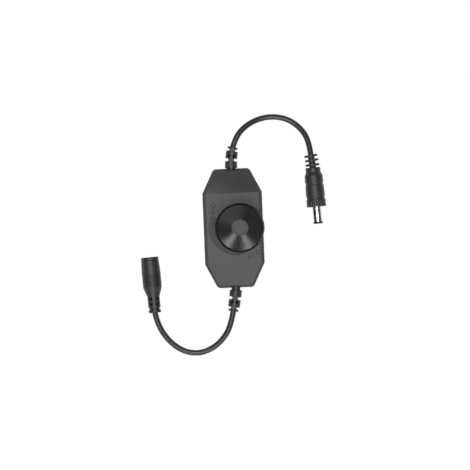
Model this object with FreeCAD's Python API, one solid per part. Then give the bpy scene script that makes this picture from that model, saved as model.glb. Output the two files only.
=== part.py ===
import FreeCAD, Part
import math
import os

from FreeCAD import Placement, Rotation, Vector

# Rotary cord dimmer for low-voltage lamps: a black two-part housing with one
# large turning knob, a short cord with a barrel jack and a short cord with a
# barrel plug. The origin is the middle of the housing's underside. Z is up,
# +Y points to the output cord, +X is the side where the knob overhangs.
# All lengths are in millimetres and all angles in degrees.

# Housing, the two moulded shells
BODY_LENGTH = 70.0
BODY_WIDTH = 35.0
END_WIDTH = 21.0
SHOULDER_LENGTH = 41.8
LOWER_HEIGHT = 6.0
BODY_HEIGHT = 17.0
END_HEIGHT = 10.5
WALL = 1.8
ROOF = 1.8
FLOOR = 1.8
LEDGE = 0.5
UPPER_DRAFT = 5.2
LOWER_DRAFT = 4.0
END_CORNER_RADIUS = 2.4
EDGE_RADIUS = 0.7
TONGUE_WIDTH = 0.9
TONGUE_HEIGHT = 1.2
TONGUE_CLEARANCE = 0.1

# Volume wedge pressed into the top face, wide at ON and thin at OFF
WEDGE_DEPTH = 0.4
WEDGE_ON_ANGLE = 155.0
WEDGE_OFF_ANGLE = 275.0
WEDGE_ON_RADIUS = 18.3
WEDGE_MIDDLE_RADIUS = 17.7
WEDGE_OFF_RADIUS = 15.5
WEDGE_INNER_RADIUS = 12.6

# Screws that hold the shells together from below
SCREW_X = 12.6
SCREW_Y = 18.2
POST_RADIUS = 2.5
SCREW_HEAD_RADIUS = 2.0
SCREW_CROWN_RADIUS = 1.4
SCREW_HEAD_HEIGHT = 1.3
SCREW_SHANK_RADIUS = 0.95
SCREW_LENGTH = 10.0
SCREW_CLEARANCE = 0.15
PILOT_CLEARANCE = 0.05
PILOT_SPARE = 0.5
SCREW_HEAD_RECESS = 0.6
DRIVE_WIDTH = 0.6
DRIVE_LENGTH = 2.4
DRIVE_DEPTH = 0.7

# Knob
KNOB_X = 3.8
KNOB_RADIUS = 14.4
KNOB_SIDE_DRAFT = 5.0
KNOB_GAP = 0.8
KNOB_RIM_HEIGHT = 10.2
KNOB_CONE_RISE = 2.2
KNOB_EDGE_RADIUS = 0.5
KNOB_DISC_RADIUS = 4.85
KNOB_DISC_STEP = 0.15
KNOB_SKIN = 1.8
KNOB_WALL = 1.9
KNOB_HUB_RADIUS = 4.6
KNOB_HUB_GAP = 0.8
KNOB_RIB_COUNT = 6
KNOB_RIB_WIDTH = 1.2
KNOB_RIB_GAP = 3.0
FLUTE_COUNT = 30
FLUTE_WIDTH = 1.0
FLUTE_DEPTH = 0.3
FLUTE_MARGIN = 1.0

# Potentiometer with its switch
SHAFT_RADIUS = 3.0
SHAFT_FLAT = 1.5
SHAFT_IN_KNOB = 7.0
SHAFT_CLEARANCE = 0.05
FLAT_LENGTH = 6.0
BUSHING_RADIUS = 3.5
BUSHING_CLEARANCE = 0.1
BUSHING_ABOVE = 3.2
WASHER_RADIUS = 5.2
WASHER_THICKNESS = 0.5
NUT_WIDTH = 10.0
NUT_HEIGHT = 2.0
NUT_CHAMFER = 0.4
POT_RADIUS = 8.0
POT_WALL = 0.5
POT_HEIGHT = 6.4
TRACK_THICKNESS = 0.8
TRACK_OUTER_RADIUS = 7.2
TRACK_INNER_RADIUS = 4.6
ROTOR_RADIUS = 6.2
ROTOR_THICKNESS = 1.4
ROTOR_GAP = 0.4
WIPER_WIDTH = 1.6
WIPER_THICKNESS = 0.3
WIPER_MARGIN = 1.2
SWITCH_RADIUS = 7.4
TERMINAL_WIDTH = 1.2
TERMINAL_THICKNESS = 0.4
TERMINAL_PITCH = 5.0
TERMINAL_REACH = 2.4

# Circuit board and what is soldered on it
BOARD_BOTTOM = 3.8
BOARD_THICKNESS = 1.6
BOARD_GAP = 0.5
BOARD_LENGTH = 50.0
POST_GAP = 0.4
RAIL_WIDTH = 1.2
RAIL_LENGTH = 18.0
RAIL_Y = 11.0
CHIP_LENGTH = 4.9
CHIP_WIDTH = 3.9
CHIP_HEIGHT = 1.5
CHIP_LEG_COUNT = 4
CHIP_LEG_PITCH = 1.27
CHIP_LEG_WIDTH = 0.42
CHIP_LEG_REACH = 1.05
TRANSISTOR_WIDTH = 6.6
TRANSISTOR_LENGTH = 6.1
TRANSISTOR_HEIGHT = 2.3
TRANSISTOR_TAB = 1.1
TRANSISTOR_LEG_PITCH = 2.28
CAN_RADIUS = 3.15
CAN_HEIGHT = 7.7
CAN_BASE = 6.6
CAN_BASE_HEIGHT = 1.4
DIODE_LENGTH = 4.3
DIODE_WIDTH = 2.6
DIODE_HEIGHT = 2.2
DIODE_LEAD = 0.5
DIODE_LEAD_WIDTH = 1.4
RESISTOR_SIZE = (1.6, 0.8, 0.45)
CERAMIC_SIZE = (2.0, 1.25, 0.9)
PART_END_CAP = 0.3
PART_CAP_PROUD = 0.05
CHIP_LIFT = 0.15
CHIP_LEG_THICKNESS = 0.2
TRANSISTOR_LEG_WIDTH = 0.8
TRANSISTOR_LEG_LENGTH = 2.4
TRANSISTOR_METAL = 0.5
TRANSISTOR_TAB_MARGIN = 0.6

# Where each part stands on the board, seen from above. The chip and the
# resistors share a column between the switch and the board's edge, and the
# ceramic capacitors stand along that edge.
CHIP_Y = 0.0
TRANSISTOR_PLACE = (4.0, 12.0)
CAN_PLACE = (3.5, -15.5)
DIODE_PLACE = (-7.0, 14.0)
RESISTOR_YS = (-12.2, -10.4, -8.6, -6.8, 5.0, 6.8, 8.6, 10.4)
CERAMIC_YS = (-12.4, -4.4, 3.7, 12.0)
CERAMIC_INSET = 1.6

# Segmented strain reliefs, one at each end of the housing
RELIEF_NECK_RADIUS = 2.6
RELIEF_FLANGE_RADIUS = 3.2
RELIEF_FLANGE_WIDTH = 1.4
RELIEF_LENGTH = 12.8
OUTPUT_RELIEF_BEND = 14.0
INPUT_RELIEF_BEND = 3.0
INPUT_RELIEF_LEAN = 8.0
RELIEF_COLLAR = (0.25, 4.3, 3.6)
RELIEF_BLOCK = (5.9, 10.3, 3.5)
RELIEF_RING = (11.5, 12.8, 3.0)
RELIEF_WEB_WIDTH = 3.65
RELIEF_WEB_HEIGHT = 5.2
RELIEF_WINDOW = (6.5, 8.1)
RELIEF_WINDOW_WEB = 1.3
RELIEF_WINDOW_REACH = 2.0
RELIEF_WINDOW_FLOOR = 0.4
RELIEF_EDGE = 0.35
RELIEF_OVERLAP = 0.5
INPUT_RELIEF_PROUD = 1.2
RELIEF_TAIL = 3.0

# Cords. Each route is a list of points chosen by hand, from the strain relief
# to the connector. The first and last point come from those two pieces.
CORD_DIAMETER = 3.4
CORD_ARC_SHARE = 0.45
OUTPUT_ROUTE = [
    (3.9, 54.4, 5.7),
    (10.2, 60.4, 4.1),
    (18.0, 64.0, 2.3),
    (26.7, 64.9, 1.75),
    (35.3, 62.6, 1.75),
    (42.2, 57.0, 2.6),
    (46.4, 49.4, 4.6),
]
INPUT_ROUTE = [
    (-3.9, -57.0, 5.7),
    (-8.0, -64.2, 4.1),
    (-14.2, -69.8, 2.3),
    (-22.2, -72.9, 1.75),
    (-30.8, -72.0, 1.75),
    (-38.4, -67.2, 2.5),
    (-44.2, -60.0, 3.9),
    (-47.5, -52.0, 5.2),
]

# Wires inside the housing
WIRE_DIAMETER = 1.3
WIRE_SPLIT = 0.75
WIRE_SPREAD = 3.6
WIRE_LEAD = 2.0
WIRE_END_INSET = 4.5
WIRE_GAP = 0.03

# Barrel plug, 5.5 mm outside and 2.1 mm inside
PLUG_REAR_X = 47.6
PLUG_REAR_Y = 41.3
PLUG_HEADING = -86.7
PLUG_BODY_LENGTH = 30.8
PLUG_REAR_RADIUS = 5.3
PLUG_FRONT_RADIUS = 5.7
PLUG_NECK_RADIUS = 4.35
PLUG_NECK_START = 7.6
PLUG_SHOULDER_START = 10.6
PLUG_SHOULDER_END = 12.4
PLUG_FIN_COUNT = 3
PLUG_FIN_PITCH = 2.7
PLUG_FIN_THICKNESS = 1.3
PLUG_FIN_RADIUS = 3.9
PLUG_FIN_GROWTH = 0.12
PLUG_CORE_RADIUS = 1.95
PLUG_TAIL_BEND = 6.0
PLUG_TAIL_OVERLAP = 0.4
PLUG_GROOVES = (17.2, 25.0)
PLUG_GROOVE_WIDTH = 1.4
PLUG_GROOVE_DEPTH = 0.3
PLUG_KNURL_START = 27.0
PLUG_KNURL_COUNT = 20
PLUG_KNURL_DEPTH = 0.25
PLUG_KNURL_WIDTH = 0.6
PLUG_EDGE = 0.5
BARREL_RADIUS = 2.75
BARREL_LENGTH = 10.0
BARREL_WALL = 0.35
BARREL_ROOT = 5.0
BARREL_ROOT_RADIUS = 3.2
TIP_LENGTH = 1.2
TIP_EDGE = 0.3
PLUG_BORE_RADIUS = 1.05
CONTACT_WALL = 0.3

# Barrel jack that takes such a plug
JACK_MOUTH_X = -50.05
JACK_MOUTH_Y = -15.1
JACK_LENGTH = 32.8
JACK_MOUTH_RADIUS = 5.2
JACK_FRONT_RADIUS = 5.6
JACK_LIP_GROOVE = 1.5
JACK_LIP_GROOVE_DEPTH = 0.25
JACK_EDGE = 0.5
JACK_RIB_START = 10.4
JACK_RIB_END = 17.5
JACK_RIB_COUNT = 7
JACK_RIB_DEPTH = 0.3
JACK_CONE_END = 23.4
JACK_NECK_RADIUS = 3.6
JACK_WINDOW_STARTS = (23.9, 27.0)
JACK_WINDOW_LENGTH = 1.2
JACK_WINDOW_DEPTH = 2.8
JACK_WINDOW_REACH = 2.9
JACK_WINDOW_WEB = 2.0
JACK_NECK_GROOVE = (30.0, 31.0)
JACK_NECK_GROOVE_DEPTH = 0.6
JACK_INSERT_RADIUS = 4.0
JACK_INSERT_LENGTH = 13.0
JACK_BORE_RADIUS = 3.0
JACK_BORE_DEPTH = 10.6
JACK_PIN_RADIUS = 1.0
JACK_PIN_ROOT_RADIUS = 1.3
JACK_PIN_RECESS = 1.0
SLEEVE_WIDTH = 2.0
SLEEVE_THICKNESS = 0.3
SLEEVE_START = 1.0

# How far a cutting shape runs past the surface that it cuts
OVERSHOOT = 1.0

# Worked out from the sizes above
BOARD_TOP = BOARD_BOTTOM + BOARD_THICKNESS
BOARD_EDGE = BODY_WIDTH / 2 - LEDGE - WALL - BOARD_GAP
COLUMN_X = (KNOB_X - SWITCH_RADIUS - BOARD_EDGE) / 2
CEILING = BODY_HEIGHT - ROOF
SHELL_WALL_INSET = LEDGE + WALL
TONGUE_TOP = LOWER_HEIGHT + TONGUE_HEIGHT
WALL_FACE = BODY_LENGTH / 2
INNER_FACE = WALL_FACE - SHELL_WALL_INSET
KNOB_BOTTOM = BODY_HEIGHT + KNOB_GAP
KNOB_RIM = KNOB_BOTTOM + KNOB_RIM_HEIGHT
KNOB_TOP = KNOB_RIM + KNOB_CONE_RISE
POT_BOTTOM = CEILING - POT_HEIGHT
NUT_BOTTOM = BODY_HEIGHT + WASHER_THICKNESS
NUT_TOP = NUT_BOTTOM + NUT_HEIGHT
BUSHING_TOP = BODY_HEIGHT + BUSHING_ABOVE
HUB_BOTTOM = BUSHING_TOP + KNOB_HUB_GAP
SHAFT_TOP = HUB_BOTTOM + SHAFT_IN_KNOB
TRACK_TOP = POT_BOTTOM + POT_WALL + TRACK_THICKNESS
ROTOR_BOTTOM = TRACK_TOP + ROTOR_GAP + WIPER_THICKNESS
ROTOR_TOP = ROTOR_BOTTOM + ROTOR_THICKNESS
CORD_RADIUS = CORD_DIAMETER / 2
PLUG_AXIS_HEIGHT = PLUG_FRONT_RADIUS
JACK_AXIS_HEIGHT = JACK_FRONT_RADIUS
PLUG_FRONT = PLUG_BODY_LENGTH
PLUG_TIP = PLUG_BODY_LENGTH + BARREL_LENGTH


# Small helpers for plain solids

def block(low, high):
    size = Vector(*high) - Vector(*low)
    return Part.makeBox(size.x, size.y, size.z, Vector(*low))


def disc(radius, bottom, top, x=0.0, y=0.0):
    return Part.makeCylinder(radius, top - bottom, Vector(x, y, bottom))


def fused(solids):
    return solids[0].multiFuse(solids[1:]).removeSplitter()


def turned(outline):
    """A solid of revolution about Z from (radius, height) corners."""
    corners = [Vector(radius, 0, height) for radius, height in outline]
    face = Part.Face(Part.makePolygon(corners + corners[:1]))
    return face.revolve(Vector(0, 0, 0), Vector(0, 0, 1), 360)


def around_z(shape, count):
    """Copies of a shape, evenly spaced about Z."""
    copies = []
    for index in range(count):
        copy = shape.copy()
        copy.rotate(Vector(0, 0, 0), Vector(0, 0, 1), 360.0 * index / count)
        copies.append(copy)
    return copies


def side_notch(radius, depth, width, bottom, top, draft=0.0):
    """A V-shaped cutter for one flute in a round side, at +X."""
    corners = [Vector(radius - depth, 0, bottom),
               Vector(radius + depth, -width, bottom),
               Vector(radius + depth, width, bottom)]
    face = Part.Face(Part.makePolygon(corners + corners[:1]))
    return face.extrude(Vector(-draft * (top - bottom), 0, top - bottom))


def half_turned(shape):
    """The same shape at the other end of the housing."""
    copy = shape.copy()
    copy.rotate(Vector(0, 0, 0), Vector(0, 0, 1), 180)
    return copy


# Housing form, shared by both shells, the cavity and the board

def quarter_corners(inset):
    """The outline's shoulder corner and end corner, moved inwards."""
    half_width = BODY_WIDTH / 2
    half_length = BODY_LENGTH / 2
    end_half = END_WIDTH / 2
    shoulder = SHOULDER_LENGTH / 2
    slant_x = half_length - shoulder
    slant_y = half_width - end_half
    slant = math.hypot(slant_x, slant_y)
    normal_x = slant_x / slant
    normal_y = slant_y / slant
    reach = normal_x * half_width + normal_y * shoulder - inset
    side = half_width - inset
    end = half_length - inset
    side_y = (reach - normal_x * side) / normal_y
    end_x = (reach - normal_y * end) / normal_x
    return [(side, side_y), (end_x, end)]


def outline(inset, height):
    """The housing's eight-sided outline at a height, moved inwards."""
    quarter = quarter_corners(inset)
    left = [(-x, y) for x, y in reversed(quarter)]
    below = [(-x, -y) for x, y in quarter]
    right = [(x, -y) for x, y in reversed(quarter)]
    corners = [Vector(x, y, height) for x, y in quarter + left + below + right]
    return Part.makePolygon(corners + corners[:1])


def frustum(bottom, bottom_inset, top, top_inset):
    """A solid between two insets of the outline at two heights."""
    wires = [outline(bottom_inset, bottom), outline(top_inset, top)]
    return Part.makeLoft(wires, True, True)


def upright_edges(solid, at_end):
    """The edges that climb the wall, at the flat ends or at the shoulders."""
    limit = (SHOULDER_LENGTH + BODY_LENGTH) / 4
    found = []
    for edge in solid.Edges:
        low, high = sorted((v.Point for v in edge.Vertexes), key=lambda p: p.z)
        leans = math.hypot(high.x - low.x, high.y - low.y) < 0.5 * (high.z - low.z)
        if leans and (abs(low.y) > limit) == at_end:
            found.append(edge)
    return found


def upper_inset(height):
    return LEDGE + (height - LOWER_HEIGHT) * math.tan(math.radians(UPPER_DRAFT))


def side_profile(bottom, drop):
    """The side view of the top, with its two sloping ends, as a wide prism."""
    far = BODY_LENGTH
    flat = quarter_corners(upper_inset(BODY_HEIGHT))[0][1]
    slope = (BODY_HEIGHT - END_HEIGHT) / (WALL_FACE - flat)
    top = BODY_HEIGHT - drop
    end = top - slope * (far - flat)
    low = min(bottom, end) - OVERSHOOT
    corners = [(-far, low), (-far, end), (-flat, top), (flat, top), (far, end), (far, low)]
    points = [Vector(-BODY_WIDTH, y, z) for y, z in corners]
    face = Part.Face(Part.makePolygon(points + points[:1]))
    return face.extrude(Vector(2 * BODY_WIDTH, 0, 0))


def top_form(bottom, wall, drop):
    """The upper shell's solid form, moved inwards by a wall and a drop."""
    bulk = frustum(bottom, upper_inset(bottom) + wall,
                   BODY_HEIGHT, upper_inset(BODY_HEIGHT) + wall)
    return bulk.common(side_profile(bottom, drop)).removeSplitter()


def roof_edges(solid):
    """The rim where the walls meet the top face and its two slopes."""
    found = []
    for edge in solid.Edges:
        low = min(v.Point.z for v in edge.Vertexes)
        middle = edge.CenterOfMass
        inside = abs(middle.x) < END_WIDTH / 4 and abs(middle.y) < INNER_FACE
        if low > END_HEIGHT - EDGE_RADIUS and not inside:
            found.append(edge)
    return found


def screw_places():
    return [(x, y) for x in (-SCREW_X, SCREW_X) for y in (-SCREW_Y, SCREW_Y)]


def relief_passages(radius):
    """The round ways out through both end walls, on the parting plane."""
    start = Vector(0, -BODY_LENGTH, LOWER_HEIGHT)
    return Part.makeCylinder(radius, 2 * BODY_LENGTH, start, Vector(0, 1, 0))


def volume_wedge():
    """A band round the knob, bounded outside by an arc that closes in."""
    def place(radius, angle, height):
        turn = math.radians(angle)
        return Vector(KNOB_X + radius * math.cos(turn), radius * math.sin(turn), height)

    middle = (WEDGE_ON_ANGLE + WEDGE_OFF_ANGLE) / 2
    bottom = BODY_HEIGHT - WEDGE_DEPTH
    outer = [place(WEDGE_ON_RADIUS, WEDGE_ON_ANGLE, bottom),
             place(WEDGE_MIDDLE_RADIUS, middle, bottom),
             place(WEDGE_OFF_RADIUS, WEDGE_OFF_ANGLE, bottom)]
    inner = [place(WEDGE_INNER_RADIUS, angle, bottom)
             for angle in (WEDGE_OFF_ANGLE, middle, WEDGE_ON_ANGLE)]
    edges = [Part.Arc(*outer).toShape(), Part.makeLine(outer[2], inner[0]),
             Part.Arc(*inner).toShape(), Part.makeLine(inner[2], outer[0])]
    return Part.Face(Part.Wire(edges)).extrude(Vector(0, 0, WEDGE_DEPTH + OVERSHOOT))


def upper_housing():
    form = top_form(LOWER_HEIGHT, 0.0, 0.0)
    form = form.makeFillet(END_CORNER_RADIUS, upright_edges(form, True))
    form = form.makeFillet(EDGE_RADIUS, roof_edges(form) + upright_edges(form, False))
    shell = form.cut(top_form(LOWER_HEIGHT, WALL, ROOF))
    posts = []
    for x, y in screw_places():
        post = disc(POST_RADIUS, LOWER_HEIGHT, BODY_HEIGHT - ROOF / 2, x, y)
        posts.append(post.common(form))
    shell = shell.multiFuse(posts)
    rebate_inset = LEDGE + WALL - TONGUE_WIDTH - TONGUE_CLEARANCE
    rebate = frustum(LOWER_HEIGHT, rebate_inset,
                     TONGUE_TOP + TONGUE_CLEARANCE, rebate_inset)
    rebate = rebate.cut(frustum(LOWER_HEIGHT, SHELL_WALL_INSET,
                                TONGUE_TOP + TONGUE_CLEARANCE, SHELL_WALL_INSET))
    cuts = [rebate, volume_wedge(), relief_passages(RELIEF_NECK_RADIUS)]
    hole = BUSHING_RADIUS + BUSHING_CLEARANCE
    cuts.append(disc(hole, CEILING - OVERSHOOT, BODY_HEIGHT + OVERSHOOT, KNOB_X))
    pilot = SCREW_SHANK_RADIUS + PILOT_CLEARANCE
    pilot_top = SCREW_HEAD_RECESS + SCREW_HEAD_HEIGHT + SCREW_LENGTH + PILOT_SPARE
    for x, y in screw_places():
        cuts.append(disc(pilot, LOWER_HEIGHT, pilot_top, x, y))
    return shell.cut(cuts).removeSplitter()


def lower_housing():
    bottom_inset = LOWER_HEIGHT * math.tan(math.radians(LOWER_DRAFT))
    form = frustum(0.0, bottom_inset, LOWER_HEIGHT, 0.0)
    form = form.makeFillet(END_CORNER_RADIUS, upright_edges(form, True))
    rim = [e for e in form.Edges if max(v.Point.z for v in e.Vertexes) < 0.01]
    form = form.makeFillet(EDGE_RADIUS, rim + upright_edges(form, False))
    tongue_inset = SHELL_WALL_INSET - TONGUE_WIDTH
    tongue = frustum(LOWER_HEIGHT - WALL, tongue_inset, TONGUE_TOP, tongue_inset)
    form = form.fuse(tongue)
    form = form.cut(frustum(FLOOR, SHELL_WALL_INSET, TONGUE_TOP + OVERSHOOT, SHELL_WALL_INSET))
    added = []
    for x, y in screw_places():
        added.append(disc(POST_RADIUS, FLOOR / 2, LOWER_HEIGHT, x, y))
    for y in (-RAIL_Y, RAIL_Y):
        low = (-RAIL_LENGTH / 2, y - RAIL_WIDTH / 2, FLOOR / 2)
        high = (RAIL_LENGTH / 2, y + RAIL_WIDTH / 2, BOARD_BOTTOM)
        added.append(block(low, high))
    form = form.multiFuse(added)
    cuts = [relief_passages(RELIEF_NECK_RADIUS)]
    for x, y in screw_places():
        shank = SCREW_SHANK_RADIUS + SCREW_CLEARANCE
        cuts.append(disc(shank, 0, LOWER_HEIGHT + OVERSHOOT, x, y))
        head = SCREW_HEAD_RADIUS + SCREW_CLEARANCE
        cuts.append(disc(head, -OVERSHOOT, SCREW_HEAD_RECESS + SCREW_HEAD_HEIGHT, x, y))
    return form.cut(cuts).removeSplitter()


def housing_screws():
    """Pan-head screws with a cross drive, heads sunk in the underside."""
    head_top = SCREW_HEAD_RECESS + SCREW_HEAD_HEIGHT
    half_long = DRIVE_LENGTH / 2
    half_wide = DRIVE_WIDTH / 2
    tip = SCREW_SHANK_RADIUS / 2
    screw = turned([
        (0, SCREW_HEAD_RECESS),
        (SCREW_CROWN_RADIUS, SCREW_HEAD_RECESS),
        (SCREW_HEAD_RADIUS, SCREW_HEAD_RECESS + SCREW_HEAD_HEIGHT / 2),
        (SCREW_HEAD_RADIUS, head_top),
        (SCREW_SHANK_RADIUS, head_top),
        (SCREW_SHANK_RADIUS, head_top + SCREW_LENGTH - tip),
        (0, head_top + SCREW_LENGTH),
    ])
    drive_top = SCREW_HEAD_RECESS + DRIVE_DEPTH
    cross = [block((-half_long, -half_wide, 0), (half_long, half_wide, drive_top)),
             block((-half_wide, -half_long, 0), (half_wide, half_long, drive_top))]
    screw = screw.cut(cross)
    copies = []
    for x, y in screw_places():
        copy = screw.copy()
        copy.translate(Vector(x, y, 0))
        copies.append(copy)
    return Part.makeCompound(copies)


# Knob

def knob():
    """A fluted cap with a shallow cone on top, ribs and a hub inside."""
    draft = math.tan(math.radians(KNOB_SIDE_DRAFT))
    rim_radius = KNOB_RADIUS - KNOB_RIM_HEIGHT * draft
    edge = KNOB_EDGE_RADIUS
    cap = turned([
        (0, KNOB_BOTTOM),
        (KNOB_RADIUS, KNOB_BOTTOM),
        (rim_radius, KNOB_RIM),
        (KNOB_DISC_RADIUS, KNOB_TOP),
        (KNOB_DISC_RADIUS, KNOB_TOP + KNOB_DISC_STEP),
        (0, KNOB_TOP + KNOB_DISC_STEP),
    ])
    crest = [e for e in cap.Edges
             if abs(e.BoundBox.ZMin - KNOB_RIM) < 0.01 and e.BoundBox.ZLength < 0.01]
    cap = cap.makeFillet(edge, crest)
    flute = side_notch(KNOB_RADIUS - FLUTE_MARGIN * draft, FLUTE_DEPTH, FLUTE_WIDTH,
                       KNOB_BOTTOM + FLUTE_MARGIN, KNOB_RIM - 2 * edge, draft)
    cap = cap.cut(around_z(flute, FLUTE_COUNT))
    ceiling = KNOB_RIM - KNOB_SKIN
    inner_bottom = KNOB_RADIUS - KNOB_WALL
    inner_top = rim_radius - KNOB_WALL
    hollow = turned([(0, KNOB_BOTTOM), (inner_bottom, KNOB_BOTTOM),
                     (inner_top, ceiling), (0, ceiling)])
    rib = block((0, -KNOB_RIB_WIDTH / 2, BUSHING_TOP + KNOB_RIB_GAP),
                (KNOB_RADIUS, KNOB_RIB_WIDTH / 2, ceiling))
    inside = [disc(KNOB_HUB_RADIUS, HUB_BOTTOM, ceiling)] + around_z(rib, KNOB_RIB_COUNT)
    cap = cap.cut(hollow.cut(inside))
    socket = shaft_form(SHAFT_CLEARANCE, HUB_BOTTOM - OVERSHOOT, SHAFT_TOP + SHAFT_CLEARANCE)
    cap = cap.cut(socket).removeSplitter()
    cap.translate(Vector(KNOB_X, 0, 0))
    return cap


# Potentiometer

def shaft_form(extra, bottom, top):
    """The shaft about Z, with its driving flat over the upper length."""
    rod = disc(SHAFT_RADIUS + extra, bottom, top)
    flat_from = SHAFT_TOP - FLAT_LENGTH + extra
    reach = 2 * SHAFT_RADIUS
    away = block((-reach, SHAFT_FLAT + extra, flat_from), (reach, reach, top + OVERSHOOT))
    return rod.cut(away)


def at_knob(shape):
    shape.translate(Vector(KNOB_X, 0, 0))
    return shape


def pot_shaft():
    return at_knob(shaft_form(0.0, ROTOR_TOP, SHAFT_TOP))


def pot_rotor():
    return at_knob(disc(ROTOR_RADIUS, ROTOR_BOTTOM, ROTOR_TOP))


def pot_wiper():
    """A sprung bridge on the rotor that runs on the two tracks."""
    plate = block((-WIPER_WIDTH, -WIPER_WIDTH / 2, ROTOR_BOTTOM - WIPER_THICKNESS),
                  (TRACK_OUTER_RADIUS - WIPER_MARGIN, WIPER_WIDTH / 2, ROTOR_BOTTOM))
    tip_x = (TRACK_OUTER_RADIUS + TRACK_INNER_RADIUS) / 2
    tip = block((tip_x - WIPER_THICKNESS, -WIPER_WIDTH / 2, TRACK_TOP + ROTOR_GAP / 2),
                (tip_x, WIPER_WIDTH / 2, ROTOR_BOTTOM - WIPER_THICKNESS))
    return at_knob(plate.fuse(tip).removeSplitter())


def pot_track():
    """A carbon horseshoe, open towards the terminals."""
    bottom = TRACK_TOP - TRACK_THICKNESS
    arc = disc(TRACK_OUTER_RADIUS, bottom, TRACK_TOP)
    arc = arc.cut(disc(TRACK_INNER_RADIUS, bottom, TRACK_TOP))
    mouth = block((-TRACK_INNER_RADIUS / 2, -POT_RADIUS, bottom),
                  (TRACK_INNER_RADIUS / 2, -TRACK_INNER_RADIUS / 2, TRACK_TOP))
    return at_knob(arc.cut(mouth))


def pot_case():
    """A drawn metal can, open at the front where the bushing plate closes it."""
    outside = disc(POT_RADIUS, POT_BOTTOM, CEILING - POT_WALL)
    inside = disc(POT_RADIUS - POT_WALL, POT_BOTTOM + POT_WALL, CEILING)
    return at_knob(outside.cut(inside))


def pot_bushing():
    """The threaded bushing and the front plate that it is riveted into."""
    plate = disc(POT_RADIUS, CEILING - POT_WALL, CEILING)
    sleeve = disc(BUSHING_RADIUS, CEILING - POT_WALL, BUSHING_TOP)
    bore = disc(SHAFT_RADIUS + SHAFT_CLEARANCE, ROTOR_TOP, BUSHING_TOP + OVERSHOOT)
    return at_knob(plate.fuse(sleeve).cut(bore).removeSplitter())


def pot_washer():
    washer = disc(WASHER_RADIUS, BODY_HEIGHT, NUT_BOTTOM)
    return at_knob(washer.cut(disc(BUSHING_RADIUS, BODY_HEIGHT, NUT_BOTTOM)))


def pot_nut():
    corner = NUT_WIDTH / 2 / math.cos(math.radians(30))
    corners = []
    for index in range(6):
        turn = math.radians(60 * index)
        corners.append(Vector(corner * math.cos(turn), corner * math.sin(turn), NUT_BOTTOM))
    face = Part.Face(Part.makePolygon(corners + corners[:1]))
    nut = face.extrude(Vector(0, 0, NUT_HEIGHT))
    chamfer = turned([(0, NUT_BOTTOM), (corner, NUT_BOTTOM), (corner, NUT_TOP - NUT_CHAMFER),
                      (NUT_WIDTH / 2, NUT_TOP), (0, NUT_TOP)])
    nut = nut.common(chamfer).cut(disc(BUSHING_RADIUS, NUT_BOTTOM, NUT_TOP))
    return at_knob(nut)


def switch_block():
    """The sealed on-off switch riveted behind the potentiometer."""
    return at_knob(disc(SWITCH_RADIUS, BOARD_TOP, POT_BOTTOM))


def pot_terminals():
    """Three flat legs that leave the can's side and stand on the board."""
    legs = []
    for index in (-1, 0, 1):
        x = index * TERMINAL_PITCH
        skin = math.sqrt(POT_RADIUS ** 2 - (abs(x) + TERMINAL_WIDTH / 2) ** 2)
        outer = -POT_RADIUS - TERMINAL_REACH
        arm_low = POT_BOTTOM + POT_WALL
        arm = block((x - TERMINAL_WIDTH / 2, outer, arm_low),
                    (x + TERMINAL_WIDTH / 2, -skin + POT_WALL, arm_low + TERMINAL_THICKNESS))
        arm = arm.cut(disc(POT_RADIUS, arm_low, arm_low + TERMINAL_THICKNESS))
        leg = block((x - TERMINAL_WIDTH / 2, outer, BOARD_TOP),
                    (x + TERMINAL_WIDTH / 2, outer + TERMINAL_THICKNESS, arm_low))
        legs.append(at_knob(arm.fuse(leg).removeSplitter()))
    return Part.makeCompound(legs)


# Circuit board

def circuit_board():
    inset = SHELL_WALL_INSET + BOARD_GAP
    board = frustum(BOARD_BOTTOM, inset, BOARD_TOP, inset)
    board = board.common(block((-BODY_WIDTH, -BOARD_LENGTH / 2, BOARD_BOTTOM),
                               (BODY_WIDTH, BOARD_LENGTH / 2, BOARD_TOP)))
    notch = POST_RADIUS + POST_GAP
    notches = []
    for x, y in screw_places():
        notches.append(disc(notch, BOARD_BOTTOM, BOARD_TOP, x, y))
        outer = math.copysign(BODY_WIDTH / 2, x)
        notches.append(block((min(x, outer), y - notch, BOARD_BOTTOM),
                             (max(x, outer), y + notch, BOARD_TOP)))
    return board.cut(notches)


def timer_chip():
    """An eight-leg chip in a small moulded package."""
    x = COLUMN_X
    y = CHIP_Y
    half_x = CHIP_WIDTH / 2
    half_y = CHIP_LENGTH / 2
    half_leg = CHIP_LEG_WIDTH / 2
    body = block((x - half_x, y - half_y, BOARD_TOP + CHIP_LIFT),
                 (x + half_x, y + half_y, BOARD_TOP + CHIP_LIFT + CHIP_HEIGHT))
    legs = []
    for index in range(CHIP_LEG_COUNT):
        leg_y = y + (index - (CHIP_LEG_COUNT - 1) / 2) * CHIP_LEG_PITCH
        for side in (-1, 1):
            inner = x + side * half_x
            outer = inner + side * CHIP_LEG_REACH
            bent = inner + side * CHIP_LEG_THICKNESS
            foot = block((min(inner, outer), leg_y - half_leg, BOARD_TOP),
                         (max(inner, outer), leg_y + half_leg, BOARD_TOP + CHIP_LEG_THICKNESS))
            root = block((min(inner, bent), leg_y - half_leg, BOARD_TOP),
                         (max(inner, bent), leg_y + half_leg, BOARD_TOP + CHIP_HEIGHT / 2))
            legs += [foot, root]
    return fused([body] + legs)


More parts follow.
